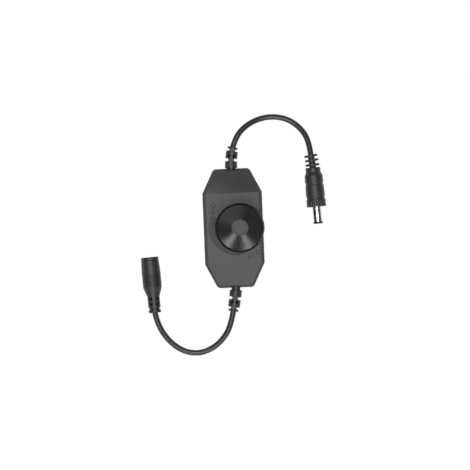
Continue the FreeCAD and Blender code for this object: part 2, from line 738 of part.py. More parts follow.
def power_transistor():
    """A flat power package whose tab is soldered to the board."""
    x, y = TRANSISTOR_PLACE
    half = TRANSISTOR_WIDTH / 2
    back = y + TRANSISTOR_LENGTH
    metal_top = BOARD_TOP + TRANSISTOR_METAL
    body = block((x - half, y, BOARD_TOP), (x + half, back, BOARD_TOP + TRANSISTOR_HEIGHT))
    tab_half = half - TRANSISTOR_TAB_MARGIN
    tab = block((x - tab_half, back, BOARD_TOP), (x + tab_half, back + TRANSISTOR_TAB, metal_top))
    legs = []
    for side in (-1, 1):
        low_x = x + side * TRANSISTOR_LEG_PITCH - TRANSISTOR_LEG_WIDTH / 2
        legs.append(block((low_x, y - TRANSISTOR_LEG_LENGTH, BOARD_TOP),
                          (low_x + TRANSISTOR_LEG_WIDTH, y, metal_top)))
    return fused([body, tab] + legs)


def smoothing_capacitor():
    """A surface-mount can on its square plastic base."""
    x, y = CAN_PLACE
    half = CAN_BASE / 2
    bottom = BOARD_TOP + CAN_BASE_HEIGHT
    base = block((x - half, y - half, BOARD_TOP), (x + half, y + half, bottom))
    can = disc(CAN_RADIUS, bottom, BOARD_TOP + CAN_HEIGHT, x, y)
    return base.fuse(can)


def flyback_diode():
    x, y = DIODE_PLACE
    half_x = DIODE_LENGTH / 2
    half_y = DIODE_WIDTH / 2
    body = block((x - half_x, y - half_y, BOARD_TOP),
                 (x + half_x, y + half_y, BOARD_TOP + DIODE_HEIGHT))
    leads = []
    for side in (-1, 1):
        inner = x + side * half_x
        outer = inner + side * DIODE_LEAD
        leads.append(block((min(inner, outer), y - DIODE_LEAD_WIDTH / 2, BOARD_TOP),
                           (max(inner, outer), y + DIODE_LEAD_WIDTH / 2,
                            BOARD_TOP + DIODE_HEIGHT / 2)))
    return fused([body] + leads)


def chip_parts(size, places):
    """Small parts with a raised metal cap at each end, lying along X."""
    length, width, height = size
    parts = []
    for x, y in places:
        body = block((x - length / 2, y - width / 2, BOARD_TOP),
                     (x + length / 2, y + width / 2, BOARD_TOP + height - PART_CAP_PROUD))
        caps = []
        for side in (-1, 1):
            centre = x + side * (length - PART_END_CAP) / 2
            caps.append(block((centre - PART_END_CAP / 2, y - width / 2, BOARD_TOP),
                              (centre + PART_END_CAP / 2, y + width / 2, BOARD_TOP + height)))
        parts.append(fused([body] + caps))
    return Part.makeCompound(parts)


def chip_resistors():
    return chip_parts(RESISTOR_SIZE, [(COLUMN_X, y) for y in RESISTOR_YS])


def chip_capacitors():
    return chip_parts(CERAMIC_SIZE, [(CERAMIC_INSET - BOARD_EDGE, y) for y in CERAMIC_YS])


# Cords and wires

def tube_path(points):
    """Straight runs joined by tangent arcs, each as large as its runs allow."""
    edges = []
    radii = []
    start = points[0]
    for before, corner, after in zip(points, points[1:], points[2:]):
        into = (corner - before).normalize()
        out = (after - corner).normalize()
        half_turn = into.getAngle(out) / 2
        shorter = min((corner - before).Length, (after - corner).Length)
        setback = CORD_ARC_SHARE * shorter
        radius = setback / math.tan(half_turn)
        arc_start = corner - into * setback
        arc_end = corner + out * setback
        inward = (out - into).normalize()
        to_centre = radius / math.cos(half_turn)
        middle = corner + inward * (to_centre - radius)
        edges.append(Part.makeLine(start, arc_start))
        edges.append(Part.Arc(arc_start, middle, arc_end).toShape())
        radii.append(radius)
        start = arc_end
    edges.append(Part.makeLine(start, points[-1]))
    return Part.Wire(edges), radii


def tube(name, route, diameter):
    """A round tube along a route, with its length and arc radii printed."""
    points = [Vector(place) for place in route]
    path, radii = tube_path(points)
    direction = points[1] - points[0]
    section = Part.Wire(Part.makeCircle(diameter / 2, points[0], direction))
    solid = path.makePipeShell([section], True, False)
    expected = math.pi * diameter ** 2 / 4 * path.Length
    print(name, "length", round(path.Length, 1), "mm, volume share",
          round(solid.Volume / expected, 4), "arc radii", [round(r, 1) for r in radii])
    print(name, "from", [round(c, 2) for c in points[0]], "to", [round(c, 2) for c in points[-1]])
    return solid


# Strain reliefs

def bent_frame(along, length, bend):
    """Place and turn at a distance along a piece that bends evenly towards +X."""
    bend_radius = length / math.radians(bend)
    turn = max(along, 0.0) / bend_radius
    x = bend_radius * (1 - math.cos(turn))
    y = bend_radius * math.sin(turn) + min(along, 0.0)
    return Placement(Vector(x, y, 0), Rotation(Vector(0, 0, 1), -math.degrees(turn)))


def relief_frame(along, bend, lean):
    """Place and turn on a relief that leans from its root and bends on its way."""
    leaning = Placement(Vector(0, 0, 0), Rotation(Vector(0, 0, 1), -lean))
    return leaning.multiply(bent_frame(along, RELIEF_LENGTH, bend))


def relief_disc(start, end, radius, bend, lean):
    """A short round length of the relief, with a small bevel at both ends."""
    half = (end - start) / 2
    edge = min(RELIEF_EDGE, half / 2)
    solid = turned([(0, -half), (radius - edge, -half), (radius, -half + edge),
                    (radius, half - edge), (radius - edge, half), (0, half)])
    solid.rotate(Vector(0, 0, 0), Vector(1, 0, 0), -90)
    frame = relief_frame((start + end) / 2, bend, lean)
    solid.Placement = frame.multiply(solid.Placement)
    return solid


def relief_block(start, end, left, right, low, high, bend, lean):
    """A box on the relief, between two widths and two heights from its axis."""
    half = (end - start) / 2
    box = block((left, -half, low), (right, half, high))
    frame = relief_frame((start + end) / 2, bend, lean)
    box.Placement = frame.multiply(box.Placement)
    return box


def strain_relief(proud, bend, lean=0.0):
    """Flange inside the wall, neck through it and flexible segments outside."""
    wall_lean = upper_inset(LOWER_HEIGHT + RELIEF_FLANGE_RADIUS) - LEDGE
    flange_face = SHELL_WALL_INSET + wall_lean + proud
    flange_back = flange_face + RELIEF_FLANGE_WIDTH
    neck = disc(RELIEF_NECK_RADIUS, -RELIEF_COLLAR[0] - RELIEF_OVERLAP, flange_face)
    flange = disc(RELIEF_FLANGE_RADIUS, flange_face, flange_back)
    tail = disc(CORD_RADIUS, 0, flange_back + RELIEF_TAIL)
    inner = neck.fuse([flange, tail])
    inner.rotate(Vector(0, 0, 0), Vector(1, 0, 0), 90)
    pieces = [inner]
    for start, end, radius in (RELIEF_COLLAR, RELIEF_BLOCK, RELIEF_RING):
        pieces.append(relief_disc(start, end, radius, bend, lean))
    half_wide = RELIEF_WEB_WIDTH / 2
    half_high = RELIEF_WEB_HEIGHT / 2
    gaps = [(RELIEF_COLLAR[1], RELIEF_BLOCK[0]), (RELIEF_BLOCK[1], RELIEF_RING[0])]
    for start, end in gaps:
        pieces.append(relief_block(start - RELIEF_OVERLAP, end + RELIEF_OVERLAP,
                                   -half_wide, half_wide, -half_high, half_high, bend, lean))
    relief = pieces[0].multiFuse(pieces[1:])
    near = RELIEF_WINDOW_WEB / 2
    floor = RELIEF_WINDOW_FLOOR
    far = 2 * RELIEF_BLOCK[2]
    windows = [relief_block(*RELIEF_WINDOW, *sides, *heights, bend, lean)
               for sides in ((near, RELIEF_WINDOW_REACH), (-RELIEF_WINDOW_REACH, -near))
               for heights in ((floor, far), (-far, -floor))]
    relief = relief.cut(windows).removeSplitter()
    relief.translate(Vector(0, WALL_FACE + proud, LOWER_HEIGHT))
    return relief


def relief_tip(proud, bend, lean=0.0):
    """The middle of a relief's end face, where its cord leaves."""
    tip = relief_frame(RELIEF_LENGTH, bend, lean).Base
    return Vector(tip.x, WALL_FACE + proud + tip.y, LOWER_HEIGHT)


def inner_wire(side, end):
    """One insulated wire from the cord's tail to its pad on the board."""
    wall_lean = upper_inset(LOWER_HEIGHT + RELIEF_FLANGE_RADIUS) - LEDGE
    tail_y = INNER_FACE - wall_lean - RELIEF_FLANGE_WIDTH - RELIEF_TAIL
    pad_z = BOARD_TOP + WIRE_DIAMETER / 2 + WIRE_GAP
    return [(side * WIRE_SPLIT, end * tail_y, pad_z),
            (side * WIRE_SPLIT, end * (tail_y - WIRE_LEAD), pad_z),
            (side * WIRE_SPREAD, end * (BOARD_LENGTH / 2 - WIRE_END_INSET), pad_z)]


# Connectors, built along Z from rear to front and then laid down

def laid(shape, x, y, height, heading):
    """Turns a shape built along Z so that Z points along a heading."""
    direction = Vector(math.cos(math.radians(heading)), math.sin(math.radians(heading)), 0)
    shape.Placement = Placement(Vector(x, y, height), Rotation(Vector(0, 0, 1), direction))
    return shape


def as_plug(shape):
    return laid(shape, PLUG_REAR_X, PLUG_REAR_Y, PLUG_AXIS_HEIGHT, PLUG_HEADING)


def as_jack(shape):
    return laid(shape, JACK_MOUTH_X, JACK_MOUTH_Y, JACK_AXIS_HEIGHT, PLUG_HEADING)


def tail_frame(along):
    """Place and turn on the plug's tail, which bends towards its cord."""
    frame = bent_frame(PLUG_NECK_START - along, PLUG_NECK_START, PLUG_TAIL_BEND)
    turn = math.degrees(frame.Rotation.Angle)
    place = Vector(-frame.Base.x, 0, PLUG_NECK_START - frame.Base.y)
    return Placement(place, Rotation(Vector(0, 1, 0), turn))


def tail_disc(start, end, radius):
    half = (end - start) / 2
    solid = disc(radius, -half, half)
    solid.Placement = tail_frame((start + end) / 2).multiply(solid.Placement)
    return solid


def plug_body():
    """The moulded grip with thin flexing fins behind it."""
    grip = turned([
        (0, PLUG_NECK_START),
        (PLUG_NECK_RADIUS - PLUG_EDGE, PLUG_NECK_START),
        (PLUG_NECK_RADIUS, PLUG_NECK_START + PLUG_EDGE),
        (PLUG_NECK_RADIUS, PLUG_SHOULDER_START),
        (PLUG_REAR_RADIUS, PLUG_SHOULDER_END),
        (PLUG_FRONT_RADIUS, PLUG_FRONT - PLUG_EDGE),
        (PLUG_FRONT_RADIUS - PLUG_EDGE, PLUG_FRONT),
        (0, PLUG_FRONT),
    ])
    pieces = [grip]
    for index in range(PLUG_FIN_COUNT):
        start = index * PLUG_FIN_PITCH
        radius = PLUG_FIN_RADIUS + index * PLUG_FIN_GROWTH
        pieces.append(tail_disc(start, start + PLUG_FIN_THICKNESS, radius))
        core_end = start + PLUG_FIN_PITCH + PLUG_TAIL_OVERLAP
        pieces.append(tail_disc(start, core_end, PLUG_CORE_RADIUS))
    body = pieces[0].multiFuse(pieces[1:])
    cuts = []
    for middle in PLUG_GROOVES:
        share = (middle - PLUG_SHOULDER_END) / (PLUG_FRONT - PLUG_SHOULDER_END)
        surface = PLUG_REAR_RADIUS + share * (PLUG_FRONT_RADIUS - PLUG_REAR_RADIUS)
        half = PLUG_GROOVE_WIDTH / 2
        cuts.append(turned([(surface - PLUG_GROOVE_DEPTH, middle - half / 2),
                            (surface + OVERSHOOT, middle - half - OVERSHOOT),
                            (surface + OVERSHOOT, middle + half + OVERSHOOT),
                            (surface - PLUG_GROOVE_DEPTH, middle + half / 2)]))
    notch = side_notch(PLUG_FRONT_RADIUS, PLUG_KNURL_DEPTH, PLUG_KNURL_WIDTH,
                       PLUG_KNURL_START, PLUG_FRONT + OVERSHOOT)
    cuts += around_z(notch, PLUG_KNURL_COUNT)
    cuts.append(disc(BARREL_ROOT_RADIUS, PLUG_FRONT - BARREL_ROOT, PLUG_FRONT + OVERSHOOT))
    return as_plug(body.cut(cuts).removeSplitter())


def plug_barrel():
    """The thin-walled metal sleeve, with a wider root held in the grip."""
    root = disc(BARREL_ROOT_RADIUS, PLUG_FRONT - BARREL_ROOT, PLUG_FRONT)
    sleeve = disc(BARREL_RADIUS, PLUG_FRONT, PLUG_TIP - TIP_LENGTH)
    bore = disc(BARREL_RADIUS - BARREL_WALL, PLUG_FRONT - BARREL_ROOT, PLUG_TIP)
    return as_plug(root.fuse(sleeve).cut(bore).removeSplitter())


def plug_insulator():
    """The black lining of the sleeve, which shows as a ring at the tip."""
    lining = disc(BARREL_RADIUS - BARREL_WALL, PLUG_FRONT - BARREL_ROOT, PLUG_TIP - TIP_LENGTH)
    ring = turned([(0, PLUG_TIP - TIP_LENGTH), (BARREL_RADIUS, PLUG_TIP - TIP_LENGTH),
                   (BARREL_RADIUS, PLUG_TIP - TIP_EDGE), (BARREL_RADIUS - TIP_EDGE, PLUG_TIP),
                   (0, PLUG_TIP)])
    bore = disc(PLUG_BORE_RADIUS + CONTACT_WALL, PLUG_FRONT - BARREL_ROOT, PLUG_TIP + OVERSHOOT)
    return as_plug(lining.fuse(ring).cut(bore).removeSplitter())


def plug_contact():
    """The inner tube that grips the jack's centre pin."""
    contact = disc(PLUG_BORE_RADIUS + CONTACT_WALL, PLUG_FRONT - BARREL_ROOT, PLUG_TIP - TIP_EDGE)
    return as_plug(contact.cut(disc(PLUG_BORE_RADIUS, PLUG_FRONT - BARREL_ROOT / 2, PLUG_TIP)))


def jack_body():
    """The moulded socket housing, grooved for the fingers, with a flexing neck."""
    groove = JACK_LIP_GROOVE_DEPTH
    pitch = (JACK_RIB_END - JACK_RIB_START) / JACK_RIB_COUNT
    finger_grooves = []
    for index in range(JACK_RIB_COUNT):
        bottom = JACK_RIB_START + (index + 0.25) * pitch
        finger_grooves += [(JACK_FRONT_RADIUS, bottom),
                           (JACK_FRONT_RADIUS - JACK_RIB_DEPTH, bottom + pitch / 4),
                           (JACK_FRONT_RADIUS, bottom + pitch / 2)]
    body = turned([
        (0, 0),
        (JACK_MOUTH_RADIUS - JACK_EDGE, 0),
        (JACK_MOUTH_RADIUS, JACK_EDGE),
        (JACK_MOUTH_RADIUS, JACK_LIP_GROOVE),
        (JACK_MOUTH_RADIUS - groove, JACK_LIP_GROOVE + groove),
        (JACK_MOUTH_RADIUS, JACK_LIP_GROOVE + 2 * groove),
        (JACK_FRONT_RADIUS, JACK_RIB_START),
        *finger_grooves,
        (JACK_FRONT_RADIUS, JACK_RIB_END),
        (JACK_NECK_RADIUS, JACK_CONE_END),
        (JACK_NECK_RADIUS, JACK_NECK_GROOVE[0]),
        (JACK_NECK_RADIUS - JACK_NECK_GROOVE_DEPTH, JACK_NECK_GROOVE[0]),
        (JACK_NECK_RADIUS - JACK_NECK_GROOVE_DEPTH, JACK_NECK_GROOVE[1]),
        (JACK_NECK_RADIUS, JACK_NECK_GROOVE[1]),
        (JACK_NECK_RADIUS, JACK_LENGTH - JACK_EDGE),
        (JACK_NECK_RADIUS - JACK_EDGE, JACK_LENGTH),
        (0, JACK_LENGTH),
    ])
    cuts = []
    near = JACK_NECK_RADIUS - JACK_WINDOW_DEPTH
    for bottom in JACK_WINDOW_STARTS:
        window = block((JACK_WINDOW_WEB / 2, near, bottom),
                       (JACK_WINDOW_REACH, 2 * JACK_NECK_RADIUS, bottom + JACK_WINDOW_LENGTH))
        other = window.mirror(Vector(0, 0, 0), Vector(1, 0, 0))
        cuts += [window, other, half_turned(window), half_turned(other)]
    cuts.append(disc(JACK_INSERT_RADIUS, -OVERSHOOT, JACK_INSERT_LENGTH))
    return as_jack(body.cut(cuts).removeSplitter())


def jack_insulator():
    """The socket insert with the round way in for the plug."""
    insert = disc(JACK_INSERT_RADIUS, 0.0, JACK_INSERT_LENGTH)
    bore = disc(JACK_BORE_RADIUS, -OVERSHOOT, JACK_BORE_DEPTH)
    pin_seat = disc(JACK_PIN_ROOT_RADIUS, JACK_BORE_DEPTH, JACK_INSERT_LENGTH)
    slot = block((JACK_BORE_RADIUS - OVERSHOOT, -SLEEVE_WIDTH / 2, SLEEVE_START),
                 (JACK_BORE_RADIUS + SLEEVE_THICKNESS, SLEEVE_WIDTH / 2, JACK_INSERT_LENGTH))
    return as_jack(insert.cut([bore, pin_seat, slot]).removeSplitter())


def jack_sleeve():
    """The flat spring contact that touches the plug's sleeve."""
    strip = block((JACK_BORE_RADIUS, -SLEEVE_WIDTH / 2, SLEEVE_START),
                  (JACK_BORE_RADIUS + SLEEVE_THICKNESS, SLEEVE_WIDTH / 2, JACK_INSERT_LENGTH))
    return as_jack(strip)


def jack_pin():
    """The centre pin, a little behind the mouth, with a wider root in the insert."""
    tip = JACK_PIN_RADIUS / 2
    return as_jack(turned([
        (0, JACK_PIN_RECESS),
        (JACK_PIN_RADIUS - tip, JACK_PIN_RECESS),
        (JACK_PIN_RADIUS, JACK_PIN_RECESS + tip),
        (JACK_PIN_RADIUS, JACK_BORE_DEPTH),
        (JACK_PIN_ROOT_RADIUS, JACK_BORE_DEPTH),
        (JACK_PIN_ROOT_RADIUS, JACK_INSERT_LENGTH),
        (0, JACK_INSERT_LENGTH),
    ]))


def cord_routes():
    """Both routes, closed at the strain relief and at the connector."""
    output_start = relief_tip(0.0, OUTPUT_RELIEF_BEND)
    input_start = relief_tip(INPUT_RELIEF_PROUD, INPUT_RELIEF_BEND, INPUT_RELIEF_LEAN)
    input_start = Vector(-input_start.x, -input_start.y, input_start.z)
    plug_rear = as_plug(Part.Vertex(tail_frame(0.0).Base)).Point
    jack_rear = as_jack(Part.Vertex(0, 0, JACK_LENGTH)).Point
    output_points = [output_start] + [Vector(*p) for p in OUTPUT_ROUTE] + [plug_rear]
    input_points = [input_start] + [Vector(*p) for p in INPUT_ROUTE] + [jack_rear]
    return output_points, input_points


def build():
    output_points, input_points = cord_routes()
    return {
        "lower_housing": lower_housing(),
        "upper_housing": upper_housing(),
        "housing_screws": housing_screws(),
        "knob": knob(),
        "pot_shaft": pot_shaft(),
        "pot_rotor": pot_rotor(),
        "pot_wiper": pot_wiper(),
        "pot_track": pot_track(),
        "pot_case": pot_case(),
        "pot_bushing": pot_bushing(),
        "pot_washer": pot_washer(),
        "pot_nut": pot_nut(),
        "switch_block": switch_block(),
        "pot_terminals": pot_terminals(),
        "circuit_board": circuit_board(),
        "timer_chip": timer_chip(),
        "power_transistor": power_transistor(),
        "smoothing_capacitor": smoothing_capacitor(),
        "flyback_diode": flyback_diode(),
        "chip_resistors": chip_resistors(),
        "chip_capacitors": chip_capacitors(),
        "output_relief": strain_relief(0.0, OUTPUT_RELIEF_BEND),
        "input_relief": half_turned(strain_relief(INPUT_RELIEF_PROUD, INPUT_RELIEF_BEND,
                                                  INPUT_RELIEF_LEAN)),
        "output_cable": tube("output_cable", output_points, CORD_DIAMETER),
        "input_cable": tube("input_cable", input_points, CORD_DIAMETER),
        "output_wire_red": tube("output_wire_red", inner_wire(1, 1), WIRE_DIAMETER),
        "output_wire_black": tube("output_wire_black", inner_wire(-1, 1), WIRE_DIAMETER),
        "input_wire_red": tube("input_wire_red", inner_wire(1, -1), WIRE_DIAMETER),
        "input_wire_black": tube("input_wire_black", inner_wire(-1, -1), WIRE_DIAMETER),
        "plug_body": plug_body(),
        "plug_barrel": plug_barrel(),
        "plug_insulator": plug_insulator(),
        "plug_contact": plug_contact(),
        "jack_body": jack_body(),
        "jack_insulator": jack_insulator(),
        "jack_sleeve": jack_sleeve(),
        "jack_pin": jack_pin(),
    }


os.makedirs("parts", exist_ok=True)
for node, shape in build().items():
    if not shape.isValid() or shape.Volume <= 0:
        raise ValueError(node + " is not a valid solid")
    shape.exportStep("parts/" + node + ".step")
    print(node, len(shape.Solids), "solids", round(shape.Volume, 1), "mm3")
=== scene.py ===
# %% [markdown]
# # A rotary cord dimmer
#
# The frame holds the dimmer's real pieces at their real size. This lesson dresses it: it models
# the pieces that are seen, gives every surface a finish, and lights the whole as in a product
# picture taken from straight above. Each piece is modelled in millimetres, because Blender's own
# limits for merging and bevelling suit such numbers, and is scaled down to metres when it is done.

# %% Load the fixed frame
import math

import bmesh
import bpy
from mathutils import Matrix, Vector


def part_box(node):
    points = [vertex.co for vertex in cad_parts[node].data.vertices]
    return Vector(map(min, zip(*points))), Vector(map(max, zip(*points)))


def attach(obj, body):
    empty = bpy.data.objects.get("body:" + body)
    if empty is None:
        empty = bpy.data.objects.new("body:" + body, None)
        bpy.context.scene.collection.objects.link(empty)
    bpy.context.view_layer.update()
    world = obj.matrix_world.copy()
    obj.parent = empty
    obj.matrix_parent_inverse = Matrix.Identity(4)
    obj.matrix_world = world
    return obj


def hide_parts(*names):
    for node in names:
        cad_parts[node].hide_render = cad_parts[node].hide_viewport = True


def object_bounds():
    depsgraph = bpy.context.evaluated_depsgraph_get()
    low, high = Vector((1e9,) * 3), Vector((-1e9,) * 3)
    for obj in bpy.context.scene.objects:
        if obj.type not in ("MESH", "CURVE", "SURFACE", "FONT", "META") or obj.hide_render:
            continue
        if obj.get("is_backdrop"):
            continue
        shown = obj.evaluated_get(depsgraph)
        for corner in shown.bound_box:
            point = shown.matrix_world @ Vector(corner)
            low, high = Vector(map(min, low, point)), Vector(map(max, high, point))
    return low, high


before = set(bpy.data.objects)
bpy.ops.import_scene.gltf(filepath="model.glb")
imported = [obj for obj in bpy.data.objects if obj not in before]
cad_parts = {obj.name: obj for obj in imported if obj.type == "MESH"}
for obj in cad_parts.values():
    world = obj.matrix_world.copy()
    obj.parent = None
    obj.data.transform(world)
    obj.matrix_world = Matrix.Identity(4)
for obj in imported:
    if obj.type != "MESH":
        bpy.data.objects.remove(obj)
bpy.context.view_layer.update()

MM = 0.001
HOUSING = "housing"
KNOB = "knob"

# %% [markdown]
# ## The camera
#
# The picture was taken from straight above with a long lens, so nothing looks stretched. A square
# picture, a known number of pixels to the millimetre, and the pixel where the housing's middle
# lies are enough to place the camera: its lens takes in the picture's real width from its
# distance, and it is turned a little because the housing leans to the left.

# %% Camera
PICTURE_SIDE = 470
PIXELS_PER_MM = 1.70
HOUSING_PIXEL = (233.5, 228.1)
HOUSING_LEAN = math.radians(2.35)
CAMERA_HEIGHT = 2.0
CAMERA_PLANE = 6 * MM
SENSOR_MM = 36.0

picture_width = PICTURE_SIDE / PIXELS_PER_MM * MM
across = (PICTURE_SIDE / 2 - HOUSING_PIXEL[0]) / PIXELS_PER_MM * MM
down = (PICTURE_SIDE / 2 - HOUSING_PIXEL[1]) / PIXELS_PER_MM * MM
picture_right = Vector((math.cos(HOUSING_LEAN), -math.sin(HOUSING_LEAN), 0))
picture_up = Vector((math.sin(HOUSING_LEAN), math.cos(HOUSING_LEAN), 0))
aim = picture_right * across - picture_up * down

bpy.ops.object.select_all(action="DESELECT")
bpy.ops.object.camera_add(location=(aim.x, aim.y, CAMERA_PLANE + CAMERA_HEIGHT),
                          rotation=(0, 0, -HOUSING_LEAN))
camera = bpy.context.object
camera.name = "picture_camera"
camera.data.sensor_width = SENSOR_MM
camera.data.lens = SENSOR_MM * CAMERA_HEIGHT / picture_width
bpy.context.scene.camera = camera
print("lens", round(camera.data.lens), "mm for a picture", round(picture_width / MM), "mm wide")

# %% [markdown]
# ## The two cords
#
# A cord is a round jacket of one thickness along one smooth line. It leaves its strain relief
# above the table, sags to the table in the bend, and rises again to its connector. It could be a
# swept mesh, but a curve with a round bevel keeps its route editable, and a NURBS line through
# listed control points has no kinks. The points are the route of the real cord.

# %% Cords
CORD_DIAMETER = 3.4 * MM
CORD_ROUND_STEPS = 6
CORD_LINE_STEPS = 16
OUTPUT_ROUTE = [(1.56, 47.67, 6.0), (3.9, 54.4, 5.7), (10.2, 60.4, 4.1), (18.0, 64.0, 2.3),
                (26.7, 64.9, 1.75), (35.3, 62.6, 1.75), (42.2, 57.0, 2.6), (46.4, 49.4, 4.6),
                (47.2, 41.26, 5.72)]
INPUT_ROUTE = [(-2.11, -48.82, 6.0), (-3.9, -57.0, 5.7), (-8.0, -64.2, 4.1), (-14.2, -69.8, 2.3),
               (-22.2, -72.9, 1.75), (-30.8, -72.0, 1.75), (-38.4, -67.2, 2.5),
               (-44.2, -60.0, 3.9), (-47.5, -52.0, 5.2), (-48.16, -47.85, 5.6)]


def jacketed_cord(name, route):
    """A round cord whose middle line is drawn by the route's points."""
    line = bpy.data.curves.new(name, "CURVE")
    line.dimensions = "3D"
    spline = line.splines.new("NURBS")
    spline.points.add(len(route) - 1)
    for point, place in zip(spline.points, route):
        point.co = (place[0] * MM, place[1] * MM, place[2] * MM, 1)
    spline.order_u = 3
    spline.use_endpoint_u = True
    spline.resolution_u = CORD_LINE_STEPS
    line.bevel_depth = CORD_DIAMETER / 2
    line.bevel_resolution = CORD_ROUND_STEPS
    line.use_fill_caps = True
    cord = bpy.data.objects.new(name, line)
    bpy.context.scene.collection.objects.link(cord)
    return cord


output_cord = jacketed_cord("output_cord", OUTPUT_ROUTE)
input_cord = jacketed_cord("input_cord", INPUT_ROUTE)

# %% [markdown]
# ## Finishes
#
# Moulded plastic has a fine grain, and its gloss and tone wander a little. Pictures wrapped round
# the pieces could show that, but seams would appear; noise in object coordinates has none and
# stays sharp near by. The nodes are added by a small class, so that a finish reads like a sum.

# %% Shader values as Python numbers
class Shade:
    """A shader socket that can be used in a Python sum."""

    def __init__(self, finish, socket):
        self.finish = finish
        self.socket = socket

    def combine(self, operation, other):
        return self.finish.node("ShaderNodeMath", {"operation": operation}, {0: self, 1: other})

    def __add__(self, other):
        return self.combine("ADD", other)

    def __sub__(self, other):
        return self.combine("SUBTRACT", other)

    def __mul__(self, other):
        return self.combine("MULTIPLY", other)


# %% A finish that is built node by node
class Finish:
    """A material on object coordinates, built node by node."""

    def __init__(self, name):
        self.material = bpy.data.materials.new(name)
        self.material.use_nodes = True
        self.tree = self.material.node_tree
        self.surface = self.tree.nodes["Principled BSDF"]
        self.place = self.node("ShaderNodeTexCoord", {}, {}, "Object")

    def node(self, kind, settings, values, output=0):
        """Adds a node: its settings first, then its values or links, and returns one output."""
        made = self.tree.nodes.new(kind)
        for key, value in settings.items():
            setattr(made, key, value)
        for key, value in values.items():
            self.put(made.inputs[key], value)
        return Shade(self, made.outputs[output])

    def put(self, socket, value):
        """Links a shade to a socket, or gives the socket a colour or a number."""
        if isinstance(value, Shade):
            self.tree.links.new(value.socket, socket)
        elif isinstance(value, tuple) and len(value) == 3 and socket.type == "RGBA":
            socket.default_value = (*value, 1)
        else:
            socket.default_value = value

    def set(self, **values):
        """Sets the surface's own sockets, named with underscores for spaces."""
        for key, value in values.items():
            self.put(self.surface.inputs[key.replace("_", " ")], value)
        return self

    def noise(self, size_mm, detail):
        return self.node("ShaderNodeTexNoise", {}, {
            "Vector": self.place, "Scale": 1 / (size_mm * MM), "Detail": detail})

    def mix(self, factor, first, second):
        return self.node("ShaderNodeMix", {"data_type": "RGBA"},
                         {0: factor, 6: first, 7: second}, 2)

    def bump(self, height, depth_mm):
        return self.node("ShaderNodeBump", {}, {"Height": height, "Distance": depth_mm * MM})


# %% [markdown]
# Two recipes are enough: a grained one for nearly everything, and one for the knob's cone, where
# turning left circular grooves. They are rings about the knob's axis that only tilt the light,
# because real grooves of that size would need millions of faces.

# %% Two recipes
KNOB_X = 3.8
WAVE_LENGTH = 2 * math.pi / 20
GROOVE_PITCH = 0.22
GROOVE_DEPTH = 0.005
CLOUD_DETAIL = 3.0
GRAIN_DETAIL = 2.0
CLOUD_SHARE = 0.7


def grained(name, dark, light, roughness, spread, grain_mm, depth_mm, cloud_mm, **constants):
    """A finish with a fine grain, cloudy colour and a gloss that wanders a little."""
    finish = Finish(name)
    cloud = finish.noise(cloud_mm, CLOUD_DETAIL)
    grain = finish.noise(grain_mm, GRAIN_DETAIL)
    tone = cloud * CLOUD_SHARE + grain * (1 - CLOUD_SHARE)
    finish.set(Base_Color=finish.mix(tone, dark, light),
               Roughness=(cloud - 0.5) * spread + roughness,
               Normal=finish.bump(grain, depth_mm), **constants)
    return finish.material


def turned_gloss(name, dark, light):
    """A glossy finish with the fine circular grooves that turning leaves round the knob's axis."""
    finish = Finish(name)
    cloud = finish.noise(8.0, CLOUD_DETAIL)
    from_axis = finish.node("ShaderNodeVectorMath", {"operation": "SUBTRACT"},
                            {0: finish.place, 1: (KNOB_X * MM, 0, 0)})
    groove = finish.node("ShaderNodeTexWave", {"wave_type": "RINGS", "rings_direction": "Z"},
                         {"Vector": from_axis, "Scale": WAVE_LENGTH / (GROOVE_PITCH * MM)}, 1)
    finish.set(Base_Color=finish.mix(cloud, dark, light), Roughness=(cloud - 0.5) * 0.05 + 0.19,
               Normal=finish.bump(groove, GROOVE_DEPTH))
    return finish.material


